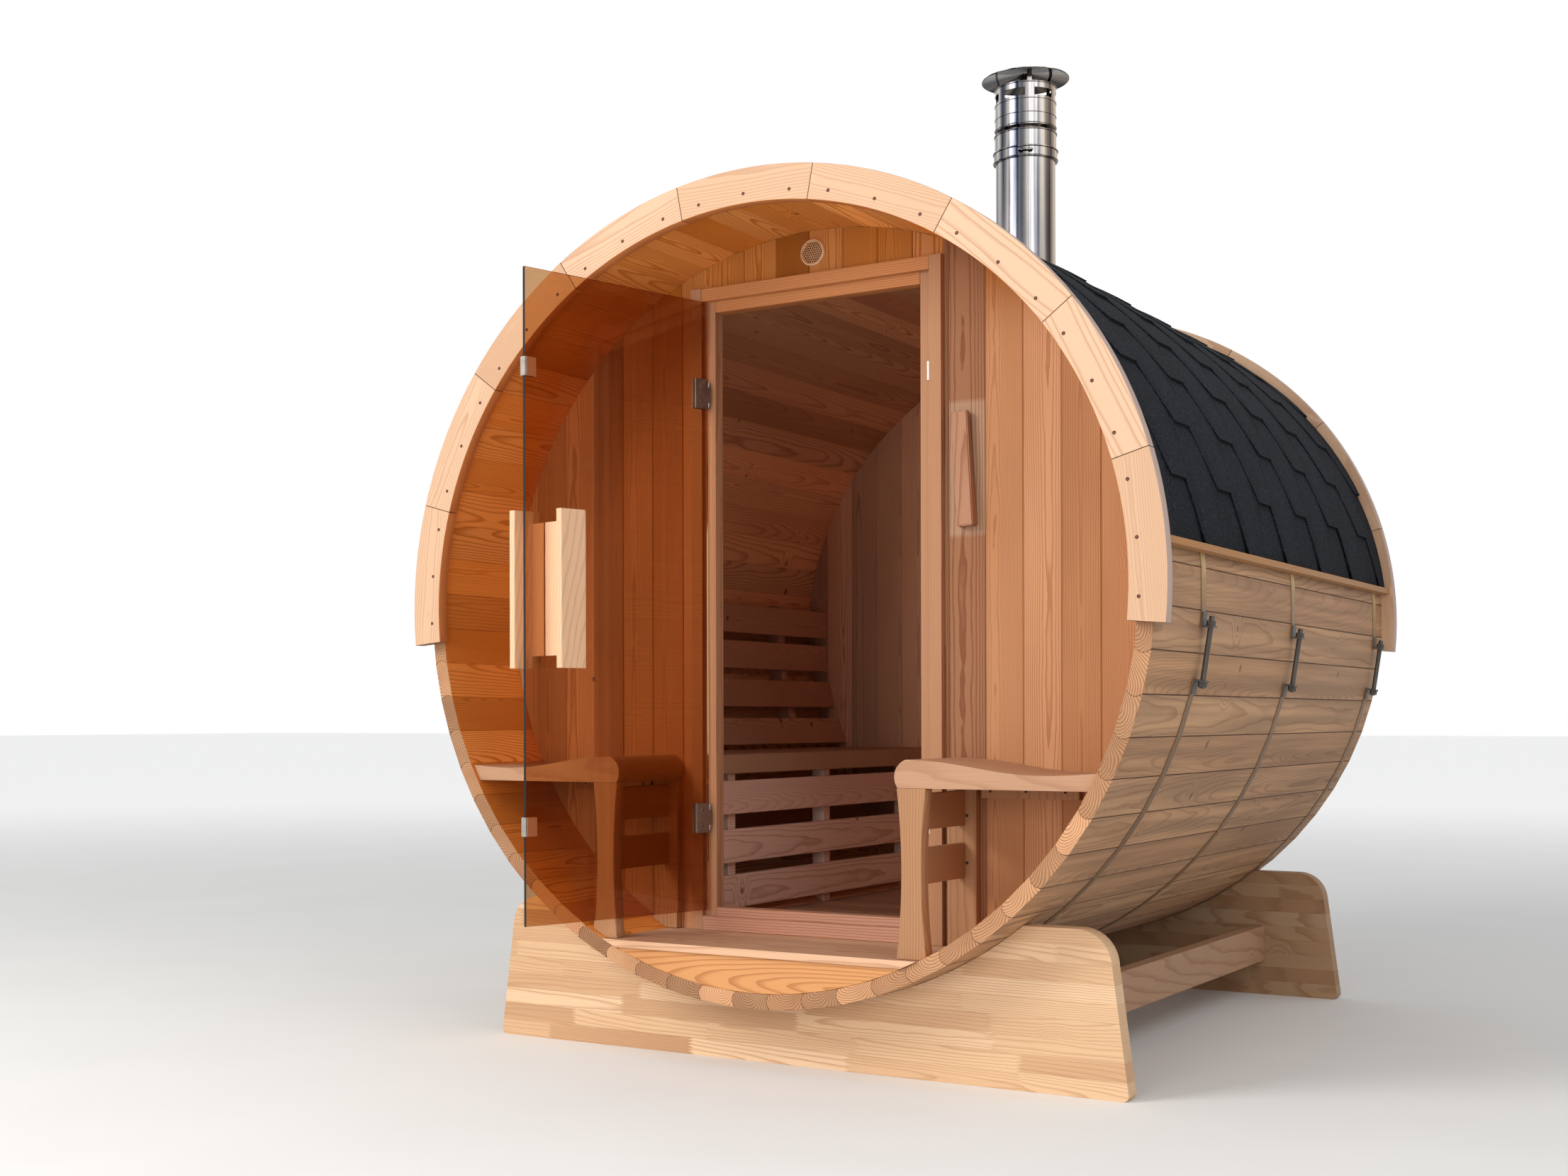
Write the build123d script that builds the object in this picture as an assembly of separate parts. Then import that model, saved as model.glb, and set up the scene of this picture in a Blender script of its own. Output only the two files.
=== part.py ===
from build123d import *
import os
from math import asin, cos, degrees, floor, pi, radians, sin, sqrt, tan

# Barrel sauna with a roofed porch, in millimetres.
# The origin is the middle of the front cradle's underside, on the ground.
# +X is to the right seen from the front, +Y runs to the back, +Z is up.

# Clearances
seat_gap = 0.3            # between a piece and what carries it
joint_gap = 0.3           # between two staves, and between two ring segments
flue_gap = 1              # round the flue where it passes through the roof
door_clearance = 5        # between the open door and the left bench

# Barrel
stave_count = 64
stave_groups = 8
stave_length = 2042
stave_outer_radius = 965  # at the corners of the staves
stave_thickness = 37
bead_depth = 9            # how far the rounded edge of a stave stands into the next one
bead_sides = 5            # flat sides that make up the rounded edge
barrel_clearance = 152    # from the ground to the lowest stave

# End rings, which cover the upper stave ends
ring_overhang = 35        # beyond the outside of the staves
ring_overlap = 11         # past the inside of the staves
ring_thickness = 33
ring_segments = 9
ring_segment_angle = 21.15

# Roof covering and eaves
covering_thickness = 12
eave_angle = 84.4         # of the covering's edge, from the top
batten_height = 16
batten_thickness = 22

# Walls and floors
porch_depth = 310         # from the stave ends to the front wall
wall_thickness = 28
rear_wall_inset = 20      # from the stave ends to the rear wall's outside
floor_rise = 104          # from the lowest stave's inside up to the floor
floor_thickness = 19
floor_nosing = 8          # how far the porch floor stands out past the apron
apron_thickness = 25

# Door frame
opening_width = 636
frame_margin = 35         # from the frame's upper corners to the staves
jamb_width = 32
frame_proud = 16          # how far the frame stands out from the wall
frame_depth = 58
header_height = 34
header_stop_height = 28
header_setback = 1        # behind the jambs' front and below their tops
stop_width = 31
sill_height = 36
sill_lip = 22

# Glass door
glass_thickness = 8
glass_setback = 10        # from the frame's front face to the middle of the glass
glass_top_gap = 4         # under the header
glass_bottom_gap = 15.7   # over the sill
glass_free_gap = 14       # from the free edge to the jamb
pivot_inset = 16          # from the jamb to the hinge axis
hinge_edge_gap = 6        # from the hinge axis to the glass
door_open_angle = 104.2

# Door fittings
hinge_plate_width = 43
hinge_plate_height = 75
hinge_plate_thickness = 5
hinge_plate_setback = 4   # from the edge of the glass
hinge_inset = 236         # from each end of the glass to a hinge's middle
hinge_barrel_diameter = 9
hinge_barrel_height = 36
hinge_web = 3             # how far the plates reach past the glass to the barrel
hinge_lug_height = 14
hinge_lug_gap = 0.5       # between the turning barrel and each lug
hinge_leaf_thickness = 2  # of the plate on the jamb
catch_height = 45
catch_width = 30
catch_thickness = 4
catch_inset = 235         # from each end of the glass to a catch's middle
catch_gap = 0.4           # between the clip and the strike when the door is shut
strike_depth = 8
stop_gap = 0.7            # between the hinge plates and the frame's step
handle_length = 375
handle_board_width = 78
handle_board_thickness = 19
handle_edge_radius = 3
handle_height = 849       # of its middle above the floor
handle_edge_setback = 57  # from the free edge of the glass to the spacers
handle_spacer_depth = 43
handle_spacer_length = 316
handle_spacer_width = 22
handle_overlap = 6        # of the outer board past the spacer

# Porch benches, one each side
bench_setback = 10        # from the stave ends
bench_frame_gap = 13      # from the door frame to the bench's nose
bench_height = 448        # of the crown beside the nose, above the floor
bench_thickness = 64      # at the crown
bench_dip = 30
bench_dip_distance = 295  # from the nose
bench_rear_rise = 14      # of the seat's outer side above the dip
bench_nose_radius = 28
bench_nose_foot = 8
bench_sides = 12          # flat sides along the nose, and along the dished top
leg_inset = 41            # from the nose to the middle of the leg
leg_top_width = 72
leg_waist_width = 50
leg_foot_width = 74
leg_waist_share = 0.58    # height of the waist, as a share of the leg
leg_thickness = 38
side_slat_height = 82
side_slat_thickness = 19
side_slat_tops = (371, 248)
post_width = 74
post_thickness = 25
cleat_height = 30
cleat_thickness = 22
cleat_length = 240
cleat_gap = 10            # between the wall post and the cleat

# Bench inside the cabin, on the left
cabin_bench_gap = 50      # from the doorway's frame out to its front face
cabin_bench_height = 444  # above the floor
cabin_bench_nose = 53
cabin_bench_board = 28
face_slat_height = 90
face_slat_thickness = 19
face_slat_tops = (372, 240, 116)
cabin_post_width = 38
cabin_post_count = 3
backrest_post_depth = 47.7
backrest_post_rise = 8    # above the top slat and above the seat
backrest_slat_height = 90
backrest_slat_thickness = 19
backrest_slat_tops = (908, 792, 667, 544)

# Cradles
cradle_setback = 184      # from the front ring's face to the front cradle
rear_cradle_inset = 27    # from the rear stave ends to the rear cradle
cradle_thickness = 50
cradle_half_width = 854
cradle_flare = 7.5        # of its sides, in degrees
cradle_height = 370
cradle_top_radius = 80
cradle_foot_radius = 14
stretcher_x = 643         # outer face
stretcher_thickness = 38
stretcher_height = 105
stretcher_rise = 102      # from the ground to its underside

# Steel bands with tensioners
front_band_inset = 319    # from the front stave ends
middle_band_offset = 36   # behind the middle of the staves
rear_band_inset = 100     # from the rear stave ends
band_width = 30
band_thickness = 2
band_upper_angle = 95.0
band_lower_angle = 101.8
bracket_reach = 28
bracket_base = 34
bracket_thickness = 4
rod_diameter = 12
rod_overhang = 26         # above the upper bracket
rod_low_overhang = 18     # below the lower bracket
rod_standoff = 17

# Chimney
chimney_setback = 357     # from the rear stave ends to its middle
chimney_sides = 36        # flat sides round each piece
pipe_diameter = 180
pipe_wall = 12
pipe_below_roof = 60
pipe_height = 477         # from the roof to the clamp's top
head_diameter = 186
head_height = 52          # above the clamp
clamp_height = 34
clamp_diameter = 192
crown_gap = 13            # above the pipe's head
crown_height = 130
crown_diameter = 184
crown_wall = 3
crown_neck = 30           # how far its neck reaches into the pipe
crown_slot_height = 24
crown_slot_width = 66
crown_slot_drop = 20      # from the crown's top to the slots
crown_slot_count = 6
cap_gap = 26              # above the crown
cap_diameter = 262
cap_rise = 28
cap_tip_radius = 6
cap_thickness = 2
cap_strap_width = 14
cap_strap_count = 3
cap_strap_overlap = 16    # of each strap with the crown
flashing_reach = 70
flashing_height = 60
flashing_collar = 4

# Small things on the front wall
vent_diameter = 67
vent_thickness = 8
vent_bore = 50
vent_sides = 24
vent_setback = 55         # from the vent's middle up to the staves
wall_block_width = 46
wall_block_height = 272
wall_block_thickness = 24
wall_block_gap = 53       # from the frame to its middle
wall_block_rise = 1128    # of its middle above the floor
wall_block_tilt = 4
wall_block_radius = 5
wall_block_step = 5       # how far its foot stands out past the rest on the right
wall_block_foot = 92      # height of that foot

# Places worked out from the sizes above
stave_inner_radius = stave_outer_radius - stave_thickness
stave_pitch = 360 / stave_count
room_radius = stave_inner_radius * cos(radians(stave_pitch / 2)) - seat_gap
ring_outer_radius = stave_outer_radius + ring_overhang
ring_inner_radius = stave_inner_radius - ring_overlap
band_inner_radius = stave_outer_radius + seat_gap
covering_inner_radius = band_inner_radius + band_thickness + seat_gap
covering_outer_radius = covering_inner_radius + covering_thickness

axis_z = barrel_clearance + stave_outer_radius
floor_z = barrel_clearance + stave_thickness + floor_rise
ring_front_y = -(cradle_setback + cradle_thickness / 2)
stave_front_y = ring_front_y + ring_thickness
stave_rear_y = stave_front_y + stave_length
bench_front_y = stave_front_y + bench_setback
wall_front_y = stave_front_y + porch_depth
wall_rear_y = wall_front_y + wall_thickness
rear_wall_y = stave_rear_y - rear_wall_inset - wall_thickness
chimney_y = stave_rear_y - chimney_setback
front_cradle_y = ring_front_y + cradle_setback
rear_cradle_y = stave_rear_y - rear_cradle_inset - cradle_thickness

frame_front_y = wall_front_y - frame_proud
frame_rear_y = frame_front_y + frame_depth
frame_half_width = opening_width / 2 + jamb_width
frame_top_z = axis_z + sqrt((room_radius - frame_margin) ** 2 - frame_half_width ** 2)
sill_top_z = floor_z + seat_gap + sill_height
pivot_x = -(opening_width / 2 - pivot_inset)
pivot_y = frame_front_y + glass_setback
glass_x0 = pivot_x + hinge_edge_gap
glass_x1 = opening_width / 2 - glass_free_gap
glass_z0 = sill_top_z + glass_bottom_gap
glass_z1 = frame_top_z - header_height - glass_top_gap
glass_outer_y = pivot_y - glass_thickness / 2
glass_inner_y = pivot_y + glass_thickness / 2
stop_front_y = glass_inner_y + seat_gap + hinge_plate_thickness + stop_gap

bench_top_z = floor_z + bench_height
bench_under_z = bench_top_z - bench_thickness
open_lean = radians(door_open_angle - 90)
open_glass_x = pivot_x - (pivot_y - bench_front_y) * tan(open_lean) - glass_thickness / 2 / cos(open_lean)
left_bench_nose_x = door_clearance - open_glass_x
right_bench_nose_x = frame_half_width + bench_frame_gap
cabin_bench_z = floor_z + cabin_bench_height
cabin_bench_x = frame_half_width + cabin_bench_gap

clamp_top_z = axis_z + covering_outer_radius + pipe_height
head_top_z = clamp_top_z + head_height
crown_z = head_top_z + crown_gap
crown_top_z = crown_z + crown_height
cap_z = crown_top_z + cap_gap


def box_between(x0, x1, y0, y1, z0, z1):
    """A box from its lowest to its highest corner."""
    return Pos((x0 + x1) / 2, (y0 + y1) / 2, (z0 + z1) / 2) * Box(x1 - x0, y1 - y0, z1 - z0)


def round_bar(radius, y0, y1):
    """A round bar on the barrel's axis."""
    return Pos(0, (y0 + y1) / 2, axis_z) * Rot(90, 0, 0) * Cylinder(radius, y1 - y0)


def plate_from(edges, y0, y1):
    """Extrude a closed outline of XZ edges from y0 to y1."""
    return Pos(0, y0, 0) * Solid.extrude(Face(Wire(edges)), Vector(0, y1 - y0, 0))


def joined(points):
    """Straight edges from each point to the next, and from the last back to the first."""
    return [Edge.make_line(a, b) for a, b in zip(points, points[1:] + points[:1])]


def arc_plate(inner, outer, start, end, y0, y1):
    """A flat plate between two radii about the barrel's axis, from one angle to another off the top."""
    def point(radius, angle):
        return Vector(radius * sin(radians(angle)), 0, axis_z + radius * cos(radians(angle)))
    middle = (start + end) / 2
    return plate_from([
        Edge.make_three_point_arc(point(outer, start), point(outer, middle), point(outer, end)),
        Edge.make_line(point(outer, end), point(inner, end)),
        Edge.make_three_point_arc(point(inner, end), point(inner, middle), point(inner, start)),
        Edge.make_line(point(inner, start), point(outer, start)),
    ], y0, y1)


def turned(*points):
    """A solid with flat sides round the chimney's axis, from a closed profile of (radius, z) points."""
    profiles = []
    for index in range(chimney_sides):
        angle = 2 * pi * (index + 0.5) / chimney_sides
        profiles.append([Vector(radius * cos(angle), radius * sin(angle), z) for radius, z in points])
    faces = []
    for here, there in zip(profiles, profiles[1:] + profiles[:1]):
        for index in range(len(points)):
            loop = [here[index - 1], there[index - 1], there[index], here[index]]
            corners = [corner for corner, before in zip(loop, loop[-1:] + loop[:-1])
                       if (corner - before).length > 0]
            if len(corners) > 2:
                faces.append(Face(Wire.make_polygon(corners, close=True)))
    return Pos(0, chimney_y, 0) * Solid(Shell(faces))


def mirrored(shape):
    """The same piece on the other side of the barrel."""
    return mirror(shape, about=Plane.YZ)


def save(name, *shapes):
    """Write one node, each of its pieces a solid of its own."""
    pieces = [solid for shape in shapes for solid in shape.solids()]
    node = pieces[0] if len(pieces) == 1 else Compound(children=pieces)
    export_step(node, f"parts/{name}.step")


# Barrel staves

def make_stave():
    """The stave at the top of the barrel, with a bead on its right and a cove on its left."""
    half = radians(stave_pitch / 2)
    side_gap = joint_gap / 2

    def corner(radius, side):
        x = radius * sin(half) - side_gap * cos(half)
        z = radius * cos(half) + side_gap * sin(half)
        return Vector(side * x, 0, z)

    def rounded(side):
        """The points of one edge from the outside of the barrel to its inside."""
        outer, inner = corner(stave_outer_radius, side), corner(stave_inner_radius, side)
        outward = Vector(cos(half), 0, -side * sin(half))
        points = []
        for index in range(bead_sides + 1):
            share = index / bead_sides
            points.append(outer + (inner - outer) * share + outward * bead_depth * 4 * share * (1 - share))
        return points

    return plate_from(joined(rounded(1) + rounded(-1)[::-1]), stave_front_y, stave_rear_y)


def make_staves():
    """All staves, starting at the top and going to the right, with the flue's hole cut through."""
    top_stave = make_stave()
    hole_radius = pipe_diameter / 2 + flue_gap
    from_middle_up = (Align.CENTER, Align.CENTER, Align.MIN)
    flue_hole = Pos(0, chimney_y, 0) * Cylinder(hole_radius, ring_outer_radius, align=from_middle_up)
    staves = []
    for index in range(stave_count):
        turn = index * stave_pitch
        stave = Rot(0, turn, 0) * top_stave
        reach = abs(stave_outer_radius * sin(radians(turn)))
        if cos(radians(turn)) > 0 and reach < hole_radius + stave_outer_radius * radians(stave_pitch):
            stave = stave - flue_hole
        staves.append(Pos(0, 0, axis_z) * stave)
    return staves


def make_ring(front_y):
    """The fascia of one barrel end, in segments."""
    half = ring_segment_angle / 2 - degrees(joint_gap / ring_inner_radius) / 2
    centres = [(index - (ring_segments - 1) / 2) * ring_segment_angle for index in range(ring_segments)]
    return [arc_plate(ring_inner_radius, ring_outer_radius, centre - half, centre + half,
                      front_y, front_y + ring_thickness) for centre in centres]


# Roof

def make_covering():
    skin = arc_plate(covering_inner_radius, covering_outer_radius, -eave_angle, eave_angle,
                     stave_front_y + seat_gap, stave_rear_y - seat_gap)
    hole = Pos(0, chimney_y, axis_z) * Cylinder(pipe_diameter / 2 + flue_gap, ring_outer_radius,
                                                align=(Align.CENTER, Align.CENTER, Align.MIN))
    return skin - hole


def make_batten():
    """The wooden strip under the covering's lower edge, on the right."""
    start = eave_angle + degrees(seat_gap / covering_inner_radius)
    return arc_plate(covering_inner_radius, covering_inner_radius + batten_thickness,
                     start, start + degrees(batten_height / covering_inner_radius),
                     stave_front_y + seat_gap, stave_rear_y - seat_gap)


# Walls, floors and the door frame

def make_front_wall():
    """The wall behind the porch, in three pieces round the doorway."""
    disc = round_bar(room_radius, wall_front_y, wall_rear_y)
    edge = frame_half_width + seat_gap
    top = axis_z + room_radius
    left = disc & box_between(-room_radius, -edge, wall_front_y, wall_rear_y, 0, top)
    over = disc & box_between(-edge, edge, wall_front_y, wall_rear_y, frame_top_z + seat_gap, top)
    vent_place = Pos(0, wall_front_y, top - vent_setback) * Rot(90, 0, 0)
    vent_hole = vent_place * Cylinder(vent_bore / 2, wall_thickness * 3)
    return left, mirrored(left), over - vent_hole


def make_floor(y0, y1):
    slab = box_between(-room_radius, room_radius, y0, y1, floor_z - floor_thickness, floor_z)
    return slab & round_bar(room_radius, y0, y1)


def make_cabin_floor():
    """The floor inside, which also runs under the frame between the side walls."""
    floor = make_floor(wall_front_y, rear_wall_y - seat_gap)
    beside = box_between(frame_half_width, room_radius, wall_front_y - 1, wall_rear_y + seat_gap, 0, axis_z)
    return floor - beside - mirrored(beside)


def make_apron():
    """The board that closes the space under the porch floor."""
    y0, y1 = stave_front_y, stave_front_y + apron_thickness
    below_floor = box_between(-room_radius, room_radius, y0, y1, 0, floor_z - floor_thickness)
    return below_floor & round_bar(room_radius, y0, y1)


def make_jamb():
    """The right jamb, with the step that the closed door meets."""
    inner = opening_width / 2
    foot = floor_z + seat_gap
    post = box_between(inner, frame_half_width, frame_front_y, frame_rear_y, foot, frame_top_z)
    return post + box_between(inner - stop_width, inner, stop_front_y, frame_rear_y, foot, frame_top_z)


def make_header():
    inner = opening_width / 2 - seat_gap
    narrow = inner - stop_width
    top = frame_top_z - header_setback
    low = frame_top_z - header_height
    step = stop_front_y - seat_gap
    board = box_between(-inner, inner, frame_front_y + header_setback, step, low, top)
    return board + box_between(-narrow, narrow, step, frame_rear_y, low - header_stop_height, top)


def make_sill():
    inner = opening_width / 2 - seat_gap
    narrow = inner - stop_width
    foot = floor_z + seat_gap
    step = stop_front_y - seat_gap
    board = box_between(-inner, inner, frame_front_y, step, foot, sill_top_z)
    return board + box_between(-narrow, narrow, step, frame_rear_y, foot, sill_top_z + sill_lip)


# Glass door, drawn shut and then swung open about its hinge axis

def swing(shape):
    return Pos(pivot_x, pivot_y, 0) * Rot(0, 0, -door_open_angle) * Pos(-pivot_x, -pivot_y, 0) * shape


def make_glass():
    return swing(box_between(glass_x0, glass_x1, glass_outer_y, glass_inner_y, glass_z0, glass_z1))


def make_handle():
    """A board on each side of the glass, each on a spacer, the outer one towards the free edge."""
    spacer_x1 = glass_x1 - handle_edge_setback
    spacer_x0 = spacer_x1 - handle_spacer_width
    middle = floor_z + handle_height
    half, half_spacer = handle_length / 2, handle_spacer_length / 2
    boards = []
    for side, face_y, x0 in ((-1, glass_outer_y - seat_gap, spacer_x0 - handle_overlap),
                             (1, glass_inner_y + seat_gap, spacer_x1 - handle_board_width)):
        stand = face_y + side * handle_spacer_depth
        outer = stand + side * handle_board_thickness
        board = box_between(x0, x0 + handle_board_width, min(stand, outer), max(stand, outer),
                            middle - half, middle + half)
        board = fillet(board.edges().filter_by(Axis.Z), handle_edge_radius)
        spacer = box_between(spacer_x0, spacer_x1 - handle_edge_radius, min(face_y, stand),
                             max(face_y, stand), middle - half_spacer, middle + half_spacer)
        boards.append(swing(board + spacer))
    return boards


def make_hinge_leaf(z):
    """The plates that clamp the glass and the barrel that turns between the lugs."""
    x0 = glass_x0 + hinge_plate_setback
    web_x = glass_x0 - seat_gap
    half, half_barrel = hinge_plate_height / 2, hinge_barrel_height / 2
    inner, outer = glass_inner_y + seat_gap, glass_outer_y - seat_gap
    leaf = Pos(pivot_x, pivot_y, z) * Cylinder(hinge_barrel_diameter / 2, hinge_barrel_height)
    leaf = leaf + box_between(pivot_x, web_x, outer, inner, z - half_barrel, z + half_barrel)
    for near, far in ((inner, inner + hinge_plate_thickness), (outer - hinge_plate_thickness, outer)):
        leaf = leaf + box_between(x0, x0 + hinge_plate_width, near, far, z - half, z + half)
        leaf = leaf + box_between(web_x - hinge_web, x0, near, far, z - half_barrel, z + half_barrel)
    return swing(leaf)


def make_jamb_hinge(z):
    """The two lugs on the jamb that hold the pin above and below the turning barrel."""
    near = hinge_barrel_height / 2 + hinge_lug_gap
    far = near + hinge_lug_height
    radius = hinge_barrel_diameter / 2
    jamb_face = -opening_width / 2 + seat_gap
    hinge = box_between(jamb_face, jamb_face + hinge_leaf_thickness,
                        pivot_y - radius, pivot_y + radius, z - far, z + far)
    for z0, z1 in ((z + near, z + far), (z - far, z - near)):
        hinge = hinge + box_between(jamb_face, pivot_x, pivot_y - radius, pivot_y + radius, z0, z1)
        hinge = hinge + Pos(pivot_x, pivot_y, (z0 + z1) / 2) * Cylinder(radius, z1 - z0)
    return hinge


def make_catch_clip(z):
    """A thin clip over the free edge of the glass."""
    z0, z1 = z - catch_height / 2, z + catch_height / 2
    x0 = glass_x1 - catch_width
    edge = glass_x1 + seat_gap
    inner, outer = glass_inner_y + seat_gap, glass_outer_y - seat_gap
    clip = box_between(x0, edge + catch_thickness, outer - catch_thickness, inner + catch_thickness, z0, z1)
    return swing(clip - box_between(x0 - 1, edge, outer, inner, z0, z1))


def make_strike(z):
    """The catch on the right jamb's step that the clip meets."""
    x0 = glass_x1 + seat_gap + catch_thickness + catch_gap
    x1 = opening_width / 2 - seat_gap
    y1 = stop_front_y - seat_gap
    return box_between(x0, x1, y1 - strike_depth, y1, z - catch_height / 2, z + catch_height / 2)


# Porch benches, drawn on the right

def make_bench_seat(nose_x):
    """A dished seat with a rounded nose, running back to the wall."""
    top, bottom = bench_top_z, bench_under_z
    far = room_radius
    crown_x = nose_x + bench_nose_radius
    rear_z = top - bench_dip + bench_rear_rise
    y0, y1 = bench_front_y, wall_front_y - seat_gap
    foot_x = nose_x + bench_nose_foot
    nose = Edge.make_three_point_arc(Vector(foot_x, 0, bottom), Vector(nose_x, 0, bottom + bench_nose_radius),
                                     Vector(crown_x, 0, top))
    dish = Edge.make_spline([Vector(crown_x, 0, top), Vector(nose_x + bench_dip_distance, 0, top - bench_dip),
                             Vector(far, 0, rear_z)], tangents=[Vector(1, 0, 0), Vector(1, 0, 0.1)])
    points = [edge @ (index / bench_sides) for edge in (nose, dish) for index in range(bench_sides)]
    seat = plate_from(joined(points + [Vector(far, 0, rear_z), Vector(far, 0, bottom)]), y0, y1)
    return seat & round_bar(room_radius, y0, y1)


def make_bench_leg(middle_x):
    """The front leg, narrow at its waist and trimmed to the barrel at its foot."""
    top = bench_under_z - seat_gap
    foot = floor_z + seat_gap
    waist = foot + (top - foot) * leg_waist_share

    def side(sign):
        return [Vector(middle_x + sign * leg_top_width / 2, 0, top),
                Vector(middle_x + sign * leg_waist_width / 2, 0, waist),
                Vector(middle_x + sign * leg_foot_width / 2, 0, foot)]

    right, left = side(1), side(-1)
    leg = plate_from([
        Edge.make_line(left[0], right[0]),
        Edge.make_spline(right),
        Edge.make_line(right[2], left[2]),
        Edge.make_spline(left[::-1]),
    ], bench_front_y, bench_front_y + leg_thickness)
    return leg & round_bar(room_radius, bench_front_y, wall_front_y)


def make_bench_frame(nose_x):
    """Leg, wall post, cleat and side slats of a bench."""
    middle_x = nose_x + leg_inset
    leg_rear = bench_front_y + leg_thickness
    under_seat = bench_under_z - seat_gap
    wall_side = wall_front_y - seat_gap
    post_front = wall_side - post_thickness
    post = box_between(middle_x - post_width / 2, middle_x + post_width / 2, post_front, wall_side,
                       floor_z + seat_gap, under_seat)
    post = post & round_bar(room_radius, bench_front_y, wall_front_y)
    cleat_x = middle_x + post_width / 2 + cleat_gap
    cleat = box_between(cleat_x, cleat_x + cleat_length, wall_side - cleat_thickness, wall_side,
                        under_seat - cleat_height, under_seat)
    half = side_slat_thickness / 2
    slats = [box_between(middle_x - half, middle_x + half, leg_rear + seat_gap, post_front - seat_gap,
                         floor_z + top - side_slat_height, floor_z + top) for top in side_slat_tops]
    return [make_bench_leg(middle_x), post, cleat] + slats


# Cabin bench, on the left

cabin_y0 = wall_rear_y + seat_gap
cabin_y1 = rear_wall_y - seat_gap
cabin_post_pitch = (cabin_y1 - cabin_y0) / cabin_post_count
cabin_posts = [cabin_y0 + cabin_post_pitch * (index + 0.5) for index in range(cabin_post_count)]


def make_cabin_seat():
    """The seat between the front and the rear wall, with a deeper board at the front edge."""
    nose_back = -cabin_bench_x - cabin_bench_board
    nose = box_between(nose_back, -cabin_bench_x, cabin_y0, cabin_y1,
                       cabin_bench_z - cabin_bench_nose, cabin_bench_z)
    seat = box_between(-room_radius, nose_back - seat_gap, cabin_y0, cabin_y1,
                       cabin_bench_z - cabin_bench_board, cabin_bench_z)
    return [nose, seat & round_bar(room_radius, cabin_y0, cabin_y1)]


def make_cabin_front():
    """Face slats and the posts behind them."""
    back = -cabin_bench_x - face_slat_thickness
    solids = []
    for top in face_slat_tops:
        solids.append(box_between(back, -cabin_bench_x, cabin_y0, cabin_y1,
                                  floor_z + top - face_slat_height, floor_z + top))
    post_top = cabin_bench_z - cabin_bench_nose - seat_gap
    for middle in cabin_posts:
        post = box_between(back - seat_gap - cabin_post_width, back - seat_gap,
                           middle - cabin_post_width / 2, middle + cabin_post_width / 2,
                           floor_z + seat_gap, post_top)
        solids.append(post & round_bar(room_radius, cabin_y0, cabin_y1))
    return solids


def make_backrest():
    """Slats that follow the barrel's side, on curved posts against the staves."""
    post_radius = room_radius - backrest_post_depth
    slat_back = sqrt((post_radius - seat_gap) ** 2 - (backrest_slat_height / 2) ** 2)
    slat_radius = slat_back - backrest_slat_thickness / 2
    solids = []
    for top in backrest_slat_tops:
        height = floor_z + top - backrest_slat_height / 2 - axis_z
        angle = degrees(asin(height / slat_radius))
        slat = Box(backrest_slat_thickness, cabin_y1 - cabin_y0, backrest_slat_height)
        place = Pos(0, (cabin_y0 + cabin_y1) / 2, axis_z) * Rot(0, angle, 0)
        solids.append(place * Pos(-slat_radius, 0, 0) * slat)
    top_height = floor_z + max(backrest_slat_tops) + backrest_post_rise - axis_z
    low_height = cabin_bench_z + backrest_post_rise - axis_z
    top_angle = -90 + degrees(asin(top_height / post_radius))
    low_angle = -90 + degrees(asin(low_height / room_radius))
    for middle in cabin_posts:
        solids.append(arc_plate(post_radius, room_radius, low_angle, top_angle,
                                middle - cabin_post_width / 2, middle + cabin_post_width / 2))
    return solids


# Cradles and stretchers

def make_cradle(front_y):
    """A glued-up panel, wider at its foot, cut to the barrel's round."""
    half = cradle_half_width
    top_half = half - tan(radians(cradle_flare)) * cradle_height
    blank = Polygon((-half, 0), (half, 0), (top_half, cradle_height), (-top_half, cradle_height),
                    align=None)
    blank = fillet(blank.vertices().sort_by(Axis.Y)[2:], cradle_top_radius)
    blank = fillet(blank.vertices().sort_by(Axis.Y)[:2], cradle_foot_radius)
    outline = (Plane.XZ * blank).faces()[0]
    panel = Pos(0, front_y, 0) * Solid.extrude(outline, Vector(0, cradle_thickness, 0))
    return panel - round_bar(stave_outer_radius + seat_gap, front_y - 1, front_y + cradle_thickness + 1)


def make_stretcher():
    y0 = front_cradle_y + cradle_thickness + seat_gap
    return box_between(stretcher_x - stretcher_thickness, stretcher_x, y0, rear_cradle_y - seat_gap,
                       stretcher_rise, stretcher_rise + stretcher_height)


# Steel bands

def strap_plate(start, end, low, high, y0, y1):
    """A plate that lies along the staves' flat faces, between two heights above them."""
    apothem = stave_outer_radius * cos(radians(stave_pitch / 2))

    def point(height, angle):
        from_middle = angle - floor(angle / stave_pitch + 0.5) * stave_pitch
        radius = (apothem + height) / cos(radians(from_middle))
        return Vector(radius * sin(radians(angle)), 0, axis_z + radius * cos(radians(angle)))

    first = floor(start / stave_pitch + 0.5)
    last = floor(end / stave_pitch + 0.5)
    angles = [start] + [(number + 0.5) * stave_pitch for number in range(first, last)] + [end]
    outline = [point(high, angle) for angle in angles] + [point(low, angle) for angle in angles[::-1]]
    return plate_from(joined(outline), y0, y1)


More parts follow.
